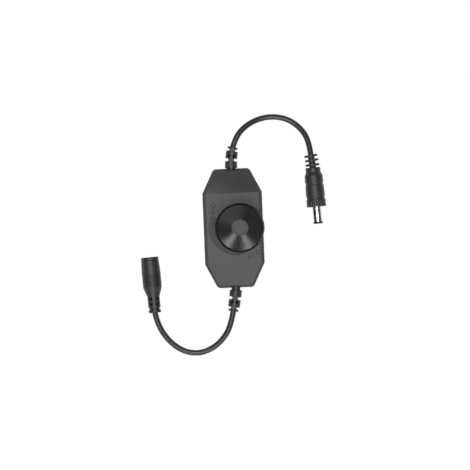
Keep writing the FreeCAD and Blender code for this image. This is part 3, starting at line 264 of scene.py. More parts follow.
# %% Finishes of the outside
FINISHES = {
    "housing_plastic": grained("housing_plastic", (0.048, 0.048, 0.049), (0.060, 0.060, 0.061),
                               0.52, 0.08, 0.35, 0.012, 9.0),
    "knob_plastic": turned_gloss("knob_plastic", (0.010, 0.010, 0.011), (0.014, 0.014, 0.015)),
    # Painted shade: the walls get a darker colour and less gloss than the top, though they are the
    # same plastic.
    "wall_painted_shade": grained("wall_painted_shade", (0.015, 0.015, 0.016), (0.022, 0.022, 0.023),
                            0.6, 0.06, 0.35, 0.012, 9.0, Specular_IOR_Level=0.08),
    "wedge_plastic": grained("wedge_plastic", (0.036, 0.036, 0.037), (0.044, 0.044, 0.045),
                             0.6, 0.06, 0.35, 0.006, 9.0),
    # Painted shade: the knob's side is far darker than its cone, to give the dark ring round the
    # knob, though it is the same plastic.
    "knob_side_painted_shade": grained("knob_side_painted_shade", (0.005, 0.005, 0.005), (0.008, 0.008, 0.008),
                         0.5, 0.08, 0.4, 0.004, 4.0, Specular_IOR_Level=0.05),
    # Painted shade: the letters are darker than the top, in place of the dark reflections of
    # glossy raised letters, though they are the same plastic.
    "letter_painted_shade": grained("letter_painted_shade", (0.022, 0.022, 0.023), (0.028, 0.028, 0.029),
                              0.4, 0.05, 0.3, 0.002, 3.0, Specular_IOR_Level=0.3),
    "knob_disc": grained("knob_disc", (0.030, 0.030, 0.031), (0.042, 0.042, 0.043),
                         0.5, 0.06, 0.3, 0.008, 3.0),
    "shaft_plastic": grained("shaft_plastic", (0.50, 0.50, 0.47), (0.58, 0.58, 0.55),
                             0.45, 0.1, 0.3, 0.01, 3.0),
    "soft_vinyl": grained("soft_vinyl", (0.025, 0.025, 0.026), (0.036, 0.036, 0.037),
                          0.42, 0.12, 0.5, 0.02, 4.0, Specular_IOR_Level=0.45),
    # Painted shade: near-black floors for the windows in the reliefs and the jack, where shade
    # falls.
    "window_painted_shade": grained("window_painted_shade", (0.003, 0.003, 0.003), (0.005, 0.005, 0.005),
                            0.6, 0.06, 0.5, 0.01, 4.0, Specular_IOR_Level=0.1),
    "cable_jacket": grained("cable_jacket", (0.021, 0.021, 0.022), (0.029, 0.029, 0.030),
                            0.33, 0.06, 0.4, 0.006, 6.0, Specular_IOR_Level=0.55),
    "insert_plastic": grained("insert_plastic", (0.012, 0.012, 0.012), (0.018, 0.018, 0.018),
                              0.4, 0.1, 0.3, 0.01, 3.0),
    "nickel": grained("nickel", (0.72, 0.71, 0.70), (0.80, 0.79, 0.77),
                      0.14, 0.06, 0.5, 0.002, 2.0, Metallic=1.0),
}
print(len(FINISHES), "finishes for the outside")

# %% [markdown]
# What lies inside is seen only by someone who takes the dimmer apart, but it has its own look too:
# tin plate, brass, pressed laminate, green solder mask, an aluminium can and fired ceramic. The
# frame's pieces carry empty slots with these names, and each slot is given its finish.

# %% Finishes of the inside
FINISHES.update({
    "screw_steel": grained("screw_steel", (0.10, 0.10, 0.11), (0.16, 0.16, 0.17),
                           0.35, 0.1, 0.2, 0.01, 1.5, Metallic=1.0),
    "plated_steel": grained("plated_steel", (0.62, 0.62, 0.60), (0.70, 0.70, 0.68),
                            0.28, 0.12, 0.3, 0.005, 2.5, Metallic=1.0),
    "brass": grained("brass", (0.70, 0.50, 0.22), (0.78, 0.57, 0.28),
                     0.25, 0.12, 0.3, 0.005, 2.0, Metallic=1.0),
    "phenolic": grained("phenolic", (0.20, 0.10, 0.045), (0.30, 0.16, 0.07),
                        0.5, 0.1, 0.25, 0.02, 2.0),
    "carbon_track": grained("carbon_track", (0.015, 0.015, 0.016), (0.03, 0.03, 0.03),
                            0.6, 0.1, 0.15, 0.01, 1.0),
    "board": grained("board", (0.01, 0.11, 0.04), (0.02, 0.17, 0.06),
                     0.35, 0.1, 0.4, 0.01, 3.0),
    "chip_plastic": grained("chip_plastic", (0.015, 0.015, 0.016), (0.025, 0.025, 0.026),
                            0.5, 0.1, 0.15, 0.01, 1.5),
    "capacitor_can": grained("capacitor_can", (0.66, 0.66, 0.67), (0.74, 0.74, 0.75),
                             0.3, 0.1, 0.2, 0.004, 2.0, Metallic=1.0),
    "ceramic": grained("ceramic", (0.03, 0.03, 0.035), (0.06, 0.06, 0.065),
                       0.3, 0.1, 0.1, 0.004, 0.8),
    "ceramic_tan": grained("ceramic_tan", (0.42, 0.30, 0.18), (0.50, 0.37, 0.24),
                           0.35, 0.1, 0.1, 0.004, 0.8),
    "wire_red": grained("wire_red", (0.45, 0.02, 0.015), (0.55, 0.03, 0.02),
                        0.4, 0.1, 0.3, 0.005, 2.0),
    "wire_black": grained("wire_black", (0.02, 0.02, 0.02), (0.035, 0.035, 0.035),
                          0.4, 0.1, 0.3, 0.005, 2.0),
})
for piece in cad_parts.values():
    for slot in piece.material_slots:
        slot.material = FINISHES[slot.material.name.split(".")[0]]
print(len(FINISHES), "finishes in all")

# %% [markdown]
# ## Tools for modelling by hand
#
# Every piece below starts from a simple shape that is opened in edit mode, where faces and edges
# are picked by their place. Turned pieces, such as a knob or a plug, come from half a section
# that is drawn corner by corner and spun round an axis, as a lathe would cut them.

# %% Picking by place
def only(piece):
    """Selects one piece alone and makes it the active one."""
    bpy.ops.object.select_all(action="DESELECT")
    piece.select_set(True)
    bpy.context.view_layer.objects.active = piece


def start_edit(piece):
    only(piece)
    bpy.ops.object.mode_set(mode="EDIT")
    bpy.ops.mesh.select_mode(type="VERT")
    bpy.ops.mesh.select_all(action="DESELECT")


def stop_edit():
    bpy.ops.object.mode_set(mode="OBJECT")


def face_outwards():
    """Turns all faces of the edited piece outwards."""
    bpy.ops.mesh.select_all(action="SELECT")
    bpy.ops.mesh.normals_make_consistent(inside=False)


def apply_place():
    """Writes the chosen piece's place, turn and scale into its corners."""
    bpy.ops.object.transform_apply(location=True, rotation=True, scale=True)


def middle(item):
    """The middle of an edge or a face."""
    return sum((corner.co for corner in item.verts), Vector()) / len(item.verts)


def pick(kind, test):
    """Selects the edited piece's corners, edges or faces that pass a test."""
    bpy.ops.mesh.select_mode(type=kind)
    bpy.ops.mesh.select_all(action="DESELECT")
    mesh = bpy.context.object.data
    shape = bmesh.from_edit_mesh(mesh)
    items = {"VERT": shape.verts, "EDGE": shape.edges, "FACE": shape.faces}[kind]
    chosen = [item for item in items if test(item)]
    for item in chosen:
        item.select_set(True)
    bmesh.update_edit_mesh(mesh)
    return len(chosen)


# %% Helper shapes for cutting and joining
def combine(piece, tool, operation="DIFFERENCE"):
    """Cuts or joins a piece with a helper shape, which is then thrown away."""
    only(piece)
    change = piece.modifiers.new("combine", "BOOLEAN")
    change.operation = operation
    change.solver = "EXACT"
    change.object = tool
    bpy.ops.object.modifier_apply(modifier=change.name)
    bpy.data.objects.remove(tool)


def bar(low, high):
    """A helper block between two corners."""
    low = Vector(low)
    high = Vector(high)
    bpy.ops.object.select_all(action="DESELECT")
    bpy.ops.mesh.primitive_cube_add(size=1, location=(low + high) / 2, scale=high - low)
    apply_place()
    return bpy.context.object


def rod(radius, bottom, top, x=0.0, y=0.0, steps=64):
    """A helper cylinder about an upright axis."""
    bpy.ops.object.select_all(action="DESELECT")
    bpy.ops.mesh.primitive_cylinder_add(vertices=steps, radius=radius, depth=top - bottom,
                                        location=(x, y, (bottom + top) / 2))
    apply_place()
    return bpy.context.object


# %% Sections that are spun
MERGE_DISTANCE = 0.0005
ARC_STEPS = 5


def rounded(corners):
    """A section's corners, where a third number rounds a corner to that radius."""
    places = []
    for index, corner in enumerate(corners):
        here = Vector(corner[:2])
        if len(corner) == 2:
            places.append(here)
            continue
        into = (here - Vector(corners[index - 1][:2])).normalized()
        out = (Vector(corners[index + 1][:2]) - here).normalized()
        turn = into.angle(out)
        side = 1 if into.cross(out) > 0 else -1
        start = here - into * corner[2] * math.tan(turn / 2)
        centre = start + Vector((-into.y, into.x)) * side * corner[2]
        for step in range(ARC_STEPS + 1):
            spoke = start - centre
            spoke.rotate(Matrix.Rotation(side * turn * step / ARC_STEPS, 2))
            places.append(centre + spoke)
    return places


def spun(name, corners, steps=96, x=0.0):
    """Draws half a section beside an upright axis and spins it round."""
    places = [Vector((x + place.x, 0, place.y)) for place in rounded(corners)]
    bpy.ops.object.select_all(action="DESELECT")
    bpy.ops.mesh.primitive_plane_add(size=1)
    piece = bpy.context.object
    piece.name = name
    start_edit(piece)
    bpy.ops.mesh.select_all(action="SELECT")
    bpy.ops.mesh.merge(type="CENTER")
    bpy.ops.transform.translate(value=places[0])
    for before, after in zip(places, places[1:]):
        bpy.ops.mesh.extrude_region_move(TRANSFORM_OT_translate={"value": after - before})
    bpy.ops.mesh.select_all(action="SELECT")
    bpy.ops.mesh.spin(steps=steps, angle=2 * math.pi, center=(x, 0, 0), axis=(0, 0, 1))
    bpy.ops.mesh.select_all(action="SELECT")
    bpy.ops.mesh.remove_doubles(threshold=MERGE_DISTANCE)
    face_outwards()
    stop_edit()
    return piece


def squeeze_columns(steps, each, radius, depth, low, high, x=0.0):
    """Moves every so-many-th column of corners inwards, between two heights, to cut flutes."""
    def in_flute(corner):
        turn = math.atan2(corner.co.y, corner.co.x - x) / (2 * math.pi) * steps
        outside = math.hypot(corner.co.x - x, corner.co.y) > radius - 3 * depth
        return round(turn) % each == 0 and low < corner.co.z < high and outside

    share = (radius - depth) / radius
    picked = pick("VERT", in_flute)
    bpy.ops.transform.resize(value=(share, share, 1), center_override=(x, 0, 0))
    return picked


# %% [markdown]
# A finished piece is scaled to metres and its flat faces get plain shading, where weighted normals
# keep the bevels soft. It then rides on its body of the frame and takes the place of the frame's
# own piece. How far its box is from that piece's box is printed, as a check of the modelling.

# %% Finishing a piece
SMOOTH_BELOW = 32.0


def settle(piece, body, slot, replaced=None):
    """Scales a finished piece down to metres and ties it to the frame."""
    only(piece)
    apply_place()
    bpy.ops.transform.resize(value=(MM, MM, MM), center_override=(0, 0, 0))
    apply_place()
    bpy.ops.object.shade_smooth_by_angle(angle=math.radians(SMOOTH_BELOW))
    level = piece.modifiers.new("level", "WEIGHTED_NORMAL")
    level.keep_sharp = True
    bpy.ops.object.modifier_apply(modifier=level.name)
    if not piece.data.materials:
        piece.data.materials.append(FINISHES[slot])
    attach(piece, body)
    if not replaced:
        print(piece.name, len(piece.data.polygons), "faces")
        return
    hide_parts(replaced)
    off = 0
    for axis in range(3):
        spots = [corner.co[axis] for corner in piece.data.vertices]
        low, high = [end[axis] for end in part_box(replaced)]
        off = max(off, abs(min(spots) - low), abs(max(spots) - high))
    print(piece.name, len(piece.data.polygons), "faces, within", round(off / MM, 2), "mm of",
          replaced)


# %% [markdown]
# ## The two housing shells
#
# The housing is moulded in two shells that meet at a parting line. Both have the same eight-sided
# outline, and each wall leans in a little so that the shell leaves its mould. A subdivided cage
# would round the walls off, so a block is cut by one plane for each wall, as a model maker would
# plane a blank. The corners are bevelled after that, and the inside is cut out with a smaller form
# made the same way.

# %% The housing's sizes
BODY_LENGTH = 70.0
BODY_WIDTH = 35.0
END_WIDTH = 21.0
SHOULDER_LENGTH = 41.8
PARTING = 6.0
BODY_TOP = 17.0
END_TOP = 10.5
WALL = 1.8
LEDGE = 0.5
UPPER_DRAFT = 5.2
LOWER_DRAFT = 4.0
CORNER_OFFSET = 1.49
SHOULDER_OFFSET = 0.16
RIM_OFFSET = 0.6
SPARE = 1.0
SIDES = (-1, 1)

slant = Vector((BODY_LENGTH - SHOULDER_LENGTH, BODY_WIDTH - END_WIDTH, 0)).normalized()
slant_reach = (slant.x * BODY_WIDTH + slant.y * SHOULDER_LENGTH) / 2
OUTLINE = [(Vector((side, 0, 0)), BODY_WIDTH / 2) for side in SIDES]
OUTLINE += [(Vector((0, side, 0)), BODY_LENGTH / 2) for side in SIDES]
OUTLINE += [(Vector((x * slant.x, y * slant.y, 0)), slant_reach) for x in SIDES for y in SIDES]

top_inset = LEDGE + (BODY_TOP - PARTING) * math.tan(math.radians(UPPER_DRAFT))
FLAT_END = (slant_reach - top_inset - slant.x * (BODY_WIDTH / 2 - top_inset)) / slant.y
SLOPE = (BODY_TOP - END_TOP) / (BODY_LENGTH / 2 - FLAT_END)
print("the flat top ends", round(FLAT_END, 1), "mm from the middle")


# %% Planing a block
def plane_off(place, outward):
    """Cuts away all that lies outside a plane and closes the cut."""
    bpy.ops.mesh.select_all(action="SELECT")
    bpy.ops.mesh.bisect(plane_co=place, plane_no=outward, use_fill=True, clear_outer=True)


def plane_roof(drop):
    """Planes the flat top and both sloping ends, a drop below their true height."""
    plane_off(Vector((0, 0, BODY_TOP - drop)), Vector((0, 0, 1)))
    for side in SIDES:
        plane_off(Vector((0, side * FLAT_END, BODY_TOP - drop)), Vector((0, side * SLOPE, 1)))


def housing_form(name, bottom, top, inset, draft, roof_drop=None):
    """A block planed to the housing's outline, with the upper shell's roof if a drop is given."""
    form = bar((-BODY_WIDTH, -BODY_LENGTH, bottom), (BODY_WIDTH, BODY_LENGTH, top))
    form.name = name
    lean = math.radians(draft)
    start_edit(form)
    for outward, reach in OUTLINE:
        plane_off(outward * (reach - inset) + Vector((0, 0, PARTING)),
                  outward * math.cos(lean) + Vector((0, 0, math.sin(lean))))
    if roof_drop is not None:
        plane_roof(roof_drop)
    face_outwards()
    stop_edit()
    return form


# %% Rounding a block
def climbs(edge, at_end):
    """Tells whether an edge runs up a wall, at the ends or at the shoulders."""
    low, high = sorted((corner.co for corner in edge.verts), key=lambda co: co.z)
    upright = (high - low).xy.length < 0.5 * (high.z - low.z)
    return upright and (abs(middle(edge).y) > (SHOULDER_LENGTH + BODY_LENGTH) / 4) == at_end


def round_housing(form, is_rim):
    """Bevels the end corners, then the shoulders and the rim."""
    start_edit(form)
    pick("EDGE", lambda edge: climbs(edge, True))
    bpy.ops.mesh.bevel(offset=CORNER_OFFSET, segments=8, affect="EDGES")
    pick("EDGE", lambda edge: climbs(edge, False))
    bpy.ops.mesh.bevel(offset=SHOULDER_OFFSET, segments=3, affect="EDGES")
    print(form.name, "rim edges:", pick("EDGE", is_rim))
    bpy.ops.mesh.bevel(offset=RIM_OFFSET, segments=4, affect="EDGES")
    stop_edit()


def is_top_rim(edge):
    """An edge where a wall meets the top face or a slope."""
    if len(edge.link_faces) != 2:
        return False
    flats = [face.normal.z > 0.8 for face in edge.link_faces]
    return any(flats) and not all(flats)


def is_bottom_rim(edge):
    flats = [face.normal.z < -0.9 for face in edge.link_faces]
    return any(flats) and not all(flats)


# %% [markdown]
# The upper shell has a flat top and two sloping ends, all with a rounded rim, while the folds
# between them are crisp. One bevel over rim and folds would pinch where they meet. So three forms
# are rounded on their own, one with the flat top and one for each slope, and only what they share
# is kept. Then come the room inside, the four screw posts and the cords' holes.

# %% Upper shell
SCREW_PLACES = [(x, y) for x in (-12.6, 12.6) for y in (-18.2, 18.2)]
SCREW_POST = 2.5
PILOT_HOLE = 1.0
PILOT_TOP = 12.4
REBATE_HEIGHT = 1.3
REBATE_INSET = LEDGE + WALL - 1.0
BUSHING_HOLE = 3.6
RELIEF_HOLE = 2.6
HAIR = 0.004

upper_shell = housing_form("upper_shell", PARTING, BODY_TOP, LEDGE, UPPER_DRAFT)
round_housing(upper_shell, is_top_rim)
for side in SIDES:
    sloped = housing_form("sloped", PARTING - SPARE, 3 * BODY_TOP, LEDGE - HAIR, UPPER_DRAFT)
    start_edit(sloped)
    plane_off(Vector((0, side * FLAT_END, BODY_TOP)), Vector((0, side * SLOPE, 1)))
    stop_edit()
    round_housing(sloped, is_top_rim)
    combine(upper_shell, sloped, "INTERSECT")
room = housing_form("room", PARTING - SPARE, BODY_TOP, LEDGE + WALL, UPPER_DRAFT, WALL)
combine(upper_shell, room)
for x, y in SCREW_PLACES:
    combine(upper_shell, rod(SCREW_POST, PARTING, BODY_TOP - WALL / 2, x, y), "UNION")
rebate = housing_form("rebate", PARTING - SPARE, PARTING + REBATE_HEIGHT, REBATE_INSET, 0.0)
combine(upper_shell, rebate)
for x, y in SCREW_PLACES:
    combine(upper_shell, rod(PILOT_HOLE, PARTING - SPARE, PILOT_TOP, x, y, 32))
combine(upper_shell, rod(BUSHING_HOLE, BODY_TOP - 2 * WALL, BODY_TOP + SPARE, KNOB_X))


def relief_hole():
    """A helper rod along the housing, on the parting line."""
    hole = rod(RELIEF_HOLE, -BODY_LENGTH, BODY_LENGTH)
    hole.rotation_euler = (math.radians(90), 0, 0)
    hole.location = (0, 0, PARTING)
    apply_place()
    return hole


combine(upper_shell, relief_hole())

# %% [markdown]
# ## The volume wedge
#
# A shallow band is pressed into the top round the knob. It is widest at ON and closes in towards
# OFF, so its outside is one arc whose centre lies off the knob's axis. A rod with that arc, cut by
# two planes through the knob's axis, gives the band when it is taken out of the top.

# %% Volume wedge
WEDGE_DEPTH = 0.4
WEDGE_OUTER = ((155.0, 18.3), (215.0, 17.7), (275.0, 15.5))
WEDGE_INNER_RADIUS = 12.6


def round_knob(angle, radius):
    """A place on the table at an angle and a distance from the knob's axis."""
    turn = math.radians(angle)
    return Vector((KNOB_X + radius * math.cos(turn), radius * math.sin(turn)))


def circle_through(first, second, third):
    """The centre and the radius of the circle through three places."""
    a = second - first
    b = third - first
    cross = 2 * a.cross(b)
    centre = first + Vector((b.y * a.length_squared - a.y * b.length_squared,
                             a.x * b.length_squared - b.x * a.length_squared)) / cross
    return centre, (first - centre).length


outer_centre, outer_radius = circle_through(*[round_knob(*place) for place in WEDGE_OUTER])
wedge = rod(outer_radius, BODY_TOP - WEDGE_DEPTH, BODY_TOP + SPARE, *outer_centre, 192)
start_edit(wedge)
wide_end = math.radians(WEDGE_OUTER[0][0])
thin_end = math.radians(WEDGE_OUTER[2][0])
plane_off((KNOB_X, 0, 0), (math.sin(wide_end), -math.cos(wide_end), 0))
plane_off((KNOB_X, 0, 0), (-math.sin(thin_end), math.cos(thin_end), 0))
stop_edit()
combine(wedge, rod(WEDGE_INNER_RADIUS, BODY_TOP - SPARE, BODY_TOP + 2 * SPARE, KNOB_X, 0, 128))
combine(upper_shell, wedge)
print("the wedge's outer arc has a radius of", round(outer_radius, 1), "mm")

# %% [markdown]
# The top is satin, the drafted walls get a darker colour that paints in the shade on them, and
# the pressed band is duller. A picture could mask these zones, but they are whole faces, so they
# are picked by the way they face and by their height, and each group gets a finish of its own.

# %% The upper shell's finishes
def paint(piece, finish, test):
    """Gives the faces that pass a test a finish of their own."""
    piece.data.materials.append(FINISHES[finish])
    start_edit(piece)
    piece.active_material_index = len(piece.data.materials) - 1
    print(finish, "covers", pick("FACE", test), "faces of", piece.name)
    bpy.ops.object.material_slot_assign()
    stop_edit()


def stands_upright(face):
    return abs(face.normal.z) < 0.35


def lies_at(face, height, reach=0.05):
    """Tells whether a face looks up and lies near a height."""
    return face.normal.z > 0.9 and abs(middle(face).z / MM - height) < reach


def in_wedge(face):
    return lies_at(face, BODY_TOP - WEDGE_DEPTH)


settle(upper_shell, HOUSING, "housing_plastic", "upper_housing")
# Painted shade: the upright walls are darkened.
paint(upper_shell, "wall_painted_shade", stands_upright)
paint(upper_shell, "wedge_plastic", in_wedge)

# %% [markdown]
# ## The lower shell
#
# Seen from above it is only a thin ledge round the upper shell, but it closes the housing: a tray
# whose tongue seats in the upper shell's rebate, with posts for the screws and two ribs under the
# board. It is planed and rounded like the upper one, with walls that lean the other way.

# %% Lower shell
TONGUE_HEIGHT = 1.2
TONGUE_INSET = LEDGE + WALL - 0.9
RIB_PLACES = (-11.0, 11.0)
RIB_REACH = 9.0
RIB_HALF_WIDTH = 0.6
RIB_TOP = 3.8
SCREW_HOLE = 1.1
HEAD_HOLE = 2.15
HEAD_DEPTH = 1.9

lower_shell = housing_form("lower_shell", 0.0, PARTING, 0.0, -LOWER_DRAFT)
round_housing(lower_shell, is_bottom_rim)
tongue = housing_form("tongue", PARTING - WALL, PARTING + TONGUE_HEIGHT, TONGUE_INSET, 0.0)
combine(lower_shell, tongue, "UNION")
combine(lower_shell, housing_form("room", WALL, PARTING + 2 * SPARE, LEDGE + WALL, 0.0))
for x, y in SCREW_PLACES:
    combine(lower_shell, rod(SCREW_POST, WALL / 2, PARTING, x, y), "UNION")
for y in RIB_PLACES:
    rib = bar((-RIB_REACH, y - RIB_HALF_WIDTH, WALL / 2), (RIB_REACH, y + RIB_HALF_WIDTH, RIB_TOP))
    combine(lower_shell, rib, "UNION")
for x, y in SCREW_PLACES:
    combine(lower_shell, rod(SCREW_HOLE, -SPARE, PARTING + SPARE, x, y, 32))
    combine(lower_shell, rod(HEAD_HOLE, -SPARE, HEAD_DEPTH, x, y))
combine(lower_shell, relief_hole())
# Painted shade: the whole lower shell is darkened like the walls, and only its ledge, which looks
# up, keeps the top's colour.
lower_shell.data.materials.clear()
lower_shell.data.materials.append(FINISHES["wall_painted_shade"])
settle(lower_shell, HOUSING, "housing_plastic", "lower_housing")


def on_ledge(face):
    return lies_at(face, PARTING)


paint(lower_shell, "housing_plastic", on_ledge)

# %% [markdown]
# ## The raised words
#
# ON and OFF stand proud of the top by the depth of an engraved mould, letter by letter round the
# knob. A drawn picture would look printed, so each letter is a text that is made solid, turned
# into a mesh, placed one by one and sunk a little, so that no gap shows under it.

# %% Raised words
LETTER_HEIGHT = 2.5
CAPITAL_SHARE = 0.7
LETTER_STRETCH = 1.15
LETTER_RISE = 0.22
LETTER_SINK = 0.05
LETTER_BEVEL = 0.06
ON_LETTERS = [("O", -11.4, 13.6, -90), ("N", -11.7, 10.1, -93)]
OFF_LETTERS = [("O", 13.75, -14.7, -137), ("F", 10.8, -16.3, -151), ("F", 8.0, -17.3, -168)]

letters = []
for letter, x, y, turn in ON_LETTERS + OFF_LETTERS:
    bpy.ops.object.select_all(action="DESELECT")
    bpy.ops.object.text_add()
    made = bpy.context.object
    made.data.body = letter
    made.data.align_x = "CENTER"
    made.data.align_y = "CENTER"
    made.data.size = LETTER_HEIGHT / CAPITAL_SHARE
    made.data.extrude = (LETTER_RISE + LETTER_SINK) / 2 - LETTER_BEVEL
    made.data.bevel_depth = LETTER_BEVEL
    made.data.bevel_resolution = 2
    bpy.ops.object.convert(target="MESH")
    made = bpy.context.object
    apply_place()
    made.scale = (LETTER_STRETCH, 1, 1)
    made.rotation_euler = (0, 0, math.radians(turn))
    made.location = (x, y, BODY_TOP + (LETTER_RISE - LETTER_SINK) / 2)
    apply_place()
    letters.append(made)
bpy.ops.object.select_all(action="DESELECT")
for made in letters:
    made.select_set(True)
bpy.context.view_layer.objects.active = letters[0]
bpy.ops.object.join()
raised_words = bpy.context.object
raised_words.name = "raised_words"
start_edit(raised_words)
bpy.ops.mesh.select_all(action="SELECT")
bpy.ops.mesh.remove_doubles(threshold=MERGE_DISTANCE)
face_outwards()
stop_edit()
# Painted shade: the letters are darker than the top around them.
raised_words.data.materials.append(FINISHES["letter_painted_shade"])
settle(raised_words, HOUSING, "housing_plastic")

# %% [markdown]
# ## The knob
#
# The knob is moulded as a deep cap: a drafted side with shallow flutes for grip, a cone on top
# that was turned to a fine circular grain, and a flat disc in the middle. Half its section is
# spun round its axis, hollow and hub included, so it is a true shell. The flutes are cut by
# moving every seventh column of corners inwards, which keeps the side one clean surface.

# %% The knob's section
KNOB_BOTTOM = 17.8
KNOB_RADIUS = 14.4
KNOB_RIM = 28.0
KNOB_RIM_RADIUS = 13.51
KNOB_CONE_TOP = 30.2
KNOB_DISC_RADIUS = 4.85
KNOB_DISC_TOP = 30.35
DISC_GROOVE = ((3.65, 0), (3.75, 0.1), (3.95, 0.1), (4.05, 0))
KNOB_INSIDE_RADII = (12.5, 11.61)
KNOB_CEILING = 26.2
HUB_RADIUS = 4.6
HUB_BOTTOM = 21.0
FLUTE_ENDS = (1.0, 1.5)
KNOB_STEPS = 210


def side_radius(height):
    share = (height - KNOB_BOTTOM) / (KNOB_RIM - KNOB_BOTTOM)
    return KNOB_RADIUS + share * (KNOB_RIM_RADIUS - KNOB_RADIUS)


side_heights = [KNOB_RIM - end for end in FLUTE_ENDS]
side_heights += [KNOB_BOTTOM + end for end in reversed(FLUTE_ENDS)]
knob_cap = spun("knob_cap", [
    (0, KNOB_DISC_TOP),
    *[(radius, KNOB_DISC_TOP - depth) for radius, depth in DISC_GROOVE],
    (KNOB_DISC_RADIUS, KNOB_DISC_TOP, 0.07),
    (KNOB_DISC_RADIUS, KNOB_CONE_TOP),
    (KNOB_RIM_RADIUS, KNOB_RIM, 0.5),
    *[(side_radius(height), height) for height in side_heights],
    (KNOB_RADIUS, KNOB_BOTTOM, 0.15),
    (KNOB_INSIDE_RADII[0], KNOB_BOTTOM),
    (KNOB_INSIDE_RADII[1], KNOB_CEILING),
    (HUB_RADIUS, KNOB_CEILING),
    (HUB_RADIUS, HUB_BOTTOM),
    (0, HUB_BOTTOM),
], KNOB_STEPS, KNOB_X)

# %% The knob's flutes, ribs and socket
FLUTE_EVERY = 7
FLUTE_DEPTH = 0.3
FLUTE_MARGIN = 1.2
KNOB_RIB_LOW = 23.2
SOCKET_RADIUS = 3.05
SOCKET_FLAT = 1.55

start_edit(knob_cap)
moved = squeeze_columns(KNOB_STEPS, FLUTE_EVERY, KNOB_RADIUS, FLUTE_DEPTH,
                        KNOB_BOTTOM + FLUTE_MARGIN, KNOB_RIM - FLUTE_MARGIN, KNOB_X)
stop_edit()
print("flute corners moved:", moved)
for turn in (0, 60, 120):
    ribs = bar((-12.6, -0.6, KNOB_RIB_LOW), (12.6, 0.6, KNOB_CEILING + 0.3))
    ribs.rotation_euler = (0, 0, math.radians(turn))
    ribs.location = (KNOB_X, 0, 0)
    apply_place()
    combine(knob_cap, ribs, "UNION")
socket = rod(SOCKET_RADIUS, 20.0, 28.05, KNOB_X)
combine(socket, bar((KNOB_X - 4, SOCKET_FLAT, 22.05), (KNOB_X + 4, 4, 29)))
combine(knob_cap, socket)
settle(knob_cap, KNOB, "knob_plastic", "knob")

# %% The knob's other finishes
def from_knob_axis(face):
    """How far a face lies from the knob's axis, and how high."""
    spot = middle(face) / MM
    return math.hypot(spot.x - KNOB_X, spot.y), spot.z


def on_knob_side(face):
    radius, height = from_knob_axis(face)
    return height < KNOB_RIM + 0.1 and radius > 13.3


def on_knob_disc(face):
    radius, height = from_knob_axis(face)
    return height > KNOB_CONE_TOP - 0.01 and radius < KNOB_DISC_RADIUS + 0.05


# Painted shade: the knob's side is darkened, up to its rim.
paint(knob_cap, "knob_side_painted_shade", on_knob_side)
paint(knob_cap, "knob_disc", on_knob_disc)

# %% [markdown]
# ## The barrel plug
#
# The grip is moulded round the cord in soft vinyl: thin round fins that let the cord bend, a
# neck, and a slowly widening grip with two grooves and a fluted collar. It is spun like the knob
# and its tail is then bent, web by web, towards the cord. The metal barrel is a thin tube with a
# wider root, and the black lining shows as a ring at its tip.

# %% Laying down and grooves
CONNECTOR_HEADING = math.radians(-86.7)
GROOVE_WIDTH = 2.0
GROOVE_SINK = 0.3
GROOVE_FLOOR_SHARE = 0.36


def lay_down(piece, place):
    """Turns a piece built upright to point along the connectors' heading, and places it."""
    heading = Vector((math.cos(CONNECTOR_HEADING), math.sin(CONNECTOR_HEADING), 0))
    only(piece)
    piece.rotation_mode = "QUATERNION"
    piece.rotation_quaternion = Vector((0, 0, 1)).rotation_difference(heading)
    piece.location = place
    apply_place()


def grip_groove(centre, radius):
    """Section corners of one wide groove round a grip."""
    floor_reach = GROOVE_WIDTH * GROOVE_FLOOR_SHARE
    return [(radius, centre - GROOVE_WIDTH / 2, 0.12),
            (radius - GROOVE_SINK, centre - floor_reach, 0.12),
            (radius - GROOVE_SINK, centre + floor_reach, 0.12),
            (radius, centre + GROOVE_WIDTH / 2, 0.12)]


# %% Plug
PLUG_REAR = (47.6, 41.3, 5.7)
PLUG_STEPS = 140
PLUG_FINS = 3
FIN_PITCH = 2.7
FIN_WIDTH = 1.3
FIN_RADIUS = 3.9
FIN_GROWTH = 0.12
PLUG_STEM = 1.95
GRIP_START = 7.6
GRIP_END_RADIUS = 5.7
BARREL_ROOT = 25.8
BARREL_ROOT_RADIUS = 3.2
PLUG_FRONT = 30.8
PLUG_TIP = 40.8
PLUG_KNURL_EVERY = 7
VINYL_EDGE = 0.45

section = [(0, 0)]
for fin in range(PLUG_FINS):
    start = FIN_PITCH * fin
    radius = FIN_RADIUS + FIN_GROWTH * fin
    section += [(radius, start, 0.15), (radius, start + FIN_WIDTH, 0.15),
                (PLUG_STEM, start + FIN_WIDTH, 0.2),
                (PLUG_STEM, min(start + FIN_PITCH, GRIP_START), 0.2)]
section += [(4.35, GRIP_START, VINYL_EDGE), (4.35, 10.4, 0.8), (5.3, 12.4, 1.2)]
section += grip_groove(17.2, 5.4) + grip_groove(25.4, 5.6)
section += [(5.64, 26.9), (5.65, 27.3), (GRIP_END_RADIUS, PLUG_FRONT - 0.9),
            (GRIP_END_RADIUS, PLUG_FRONT, VINYL_EDGE)]
section += [(BARREL_ROOT_RADIUS, PLUG_FRONT), (BARREL_ROOT_RADIUS, BARREL_ROOT), (0, BARREL_ROOT)]
turned_plug = spun("turned_plug", section, PLUG_STEPS)
start_edit(turned_plug)
squeeze_columns(PLUG_STEPS, PLUG_KNURL_EVERY, 5.65, 0.22, 27.0, PLUG_FRONT - 0.6)
for web in (7.15, 4.7, 2.0):
    pick("VERT", lambda corner: corner.co.z < web)
    bpy.ops.transform.rotate(value=math.radians(-2), orient_axis="Y", center_override=(0, 0, web))
stop_edit()
lay_down(turned_plug, PLUG_REAR)
settle(turned_plug, HOUSING, "soft_vinyl", "plug_body")

# %% Barrel and lining
BARREL_RADIUS = 2.75
BARREL_INSIDE = 2.4
LINING_RING = 1.2
LINING_RADII = (1.36, 2.38)

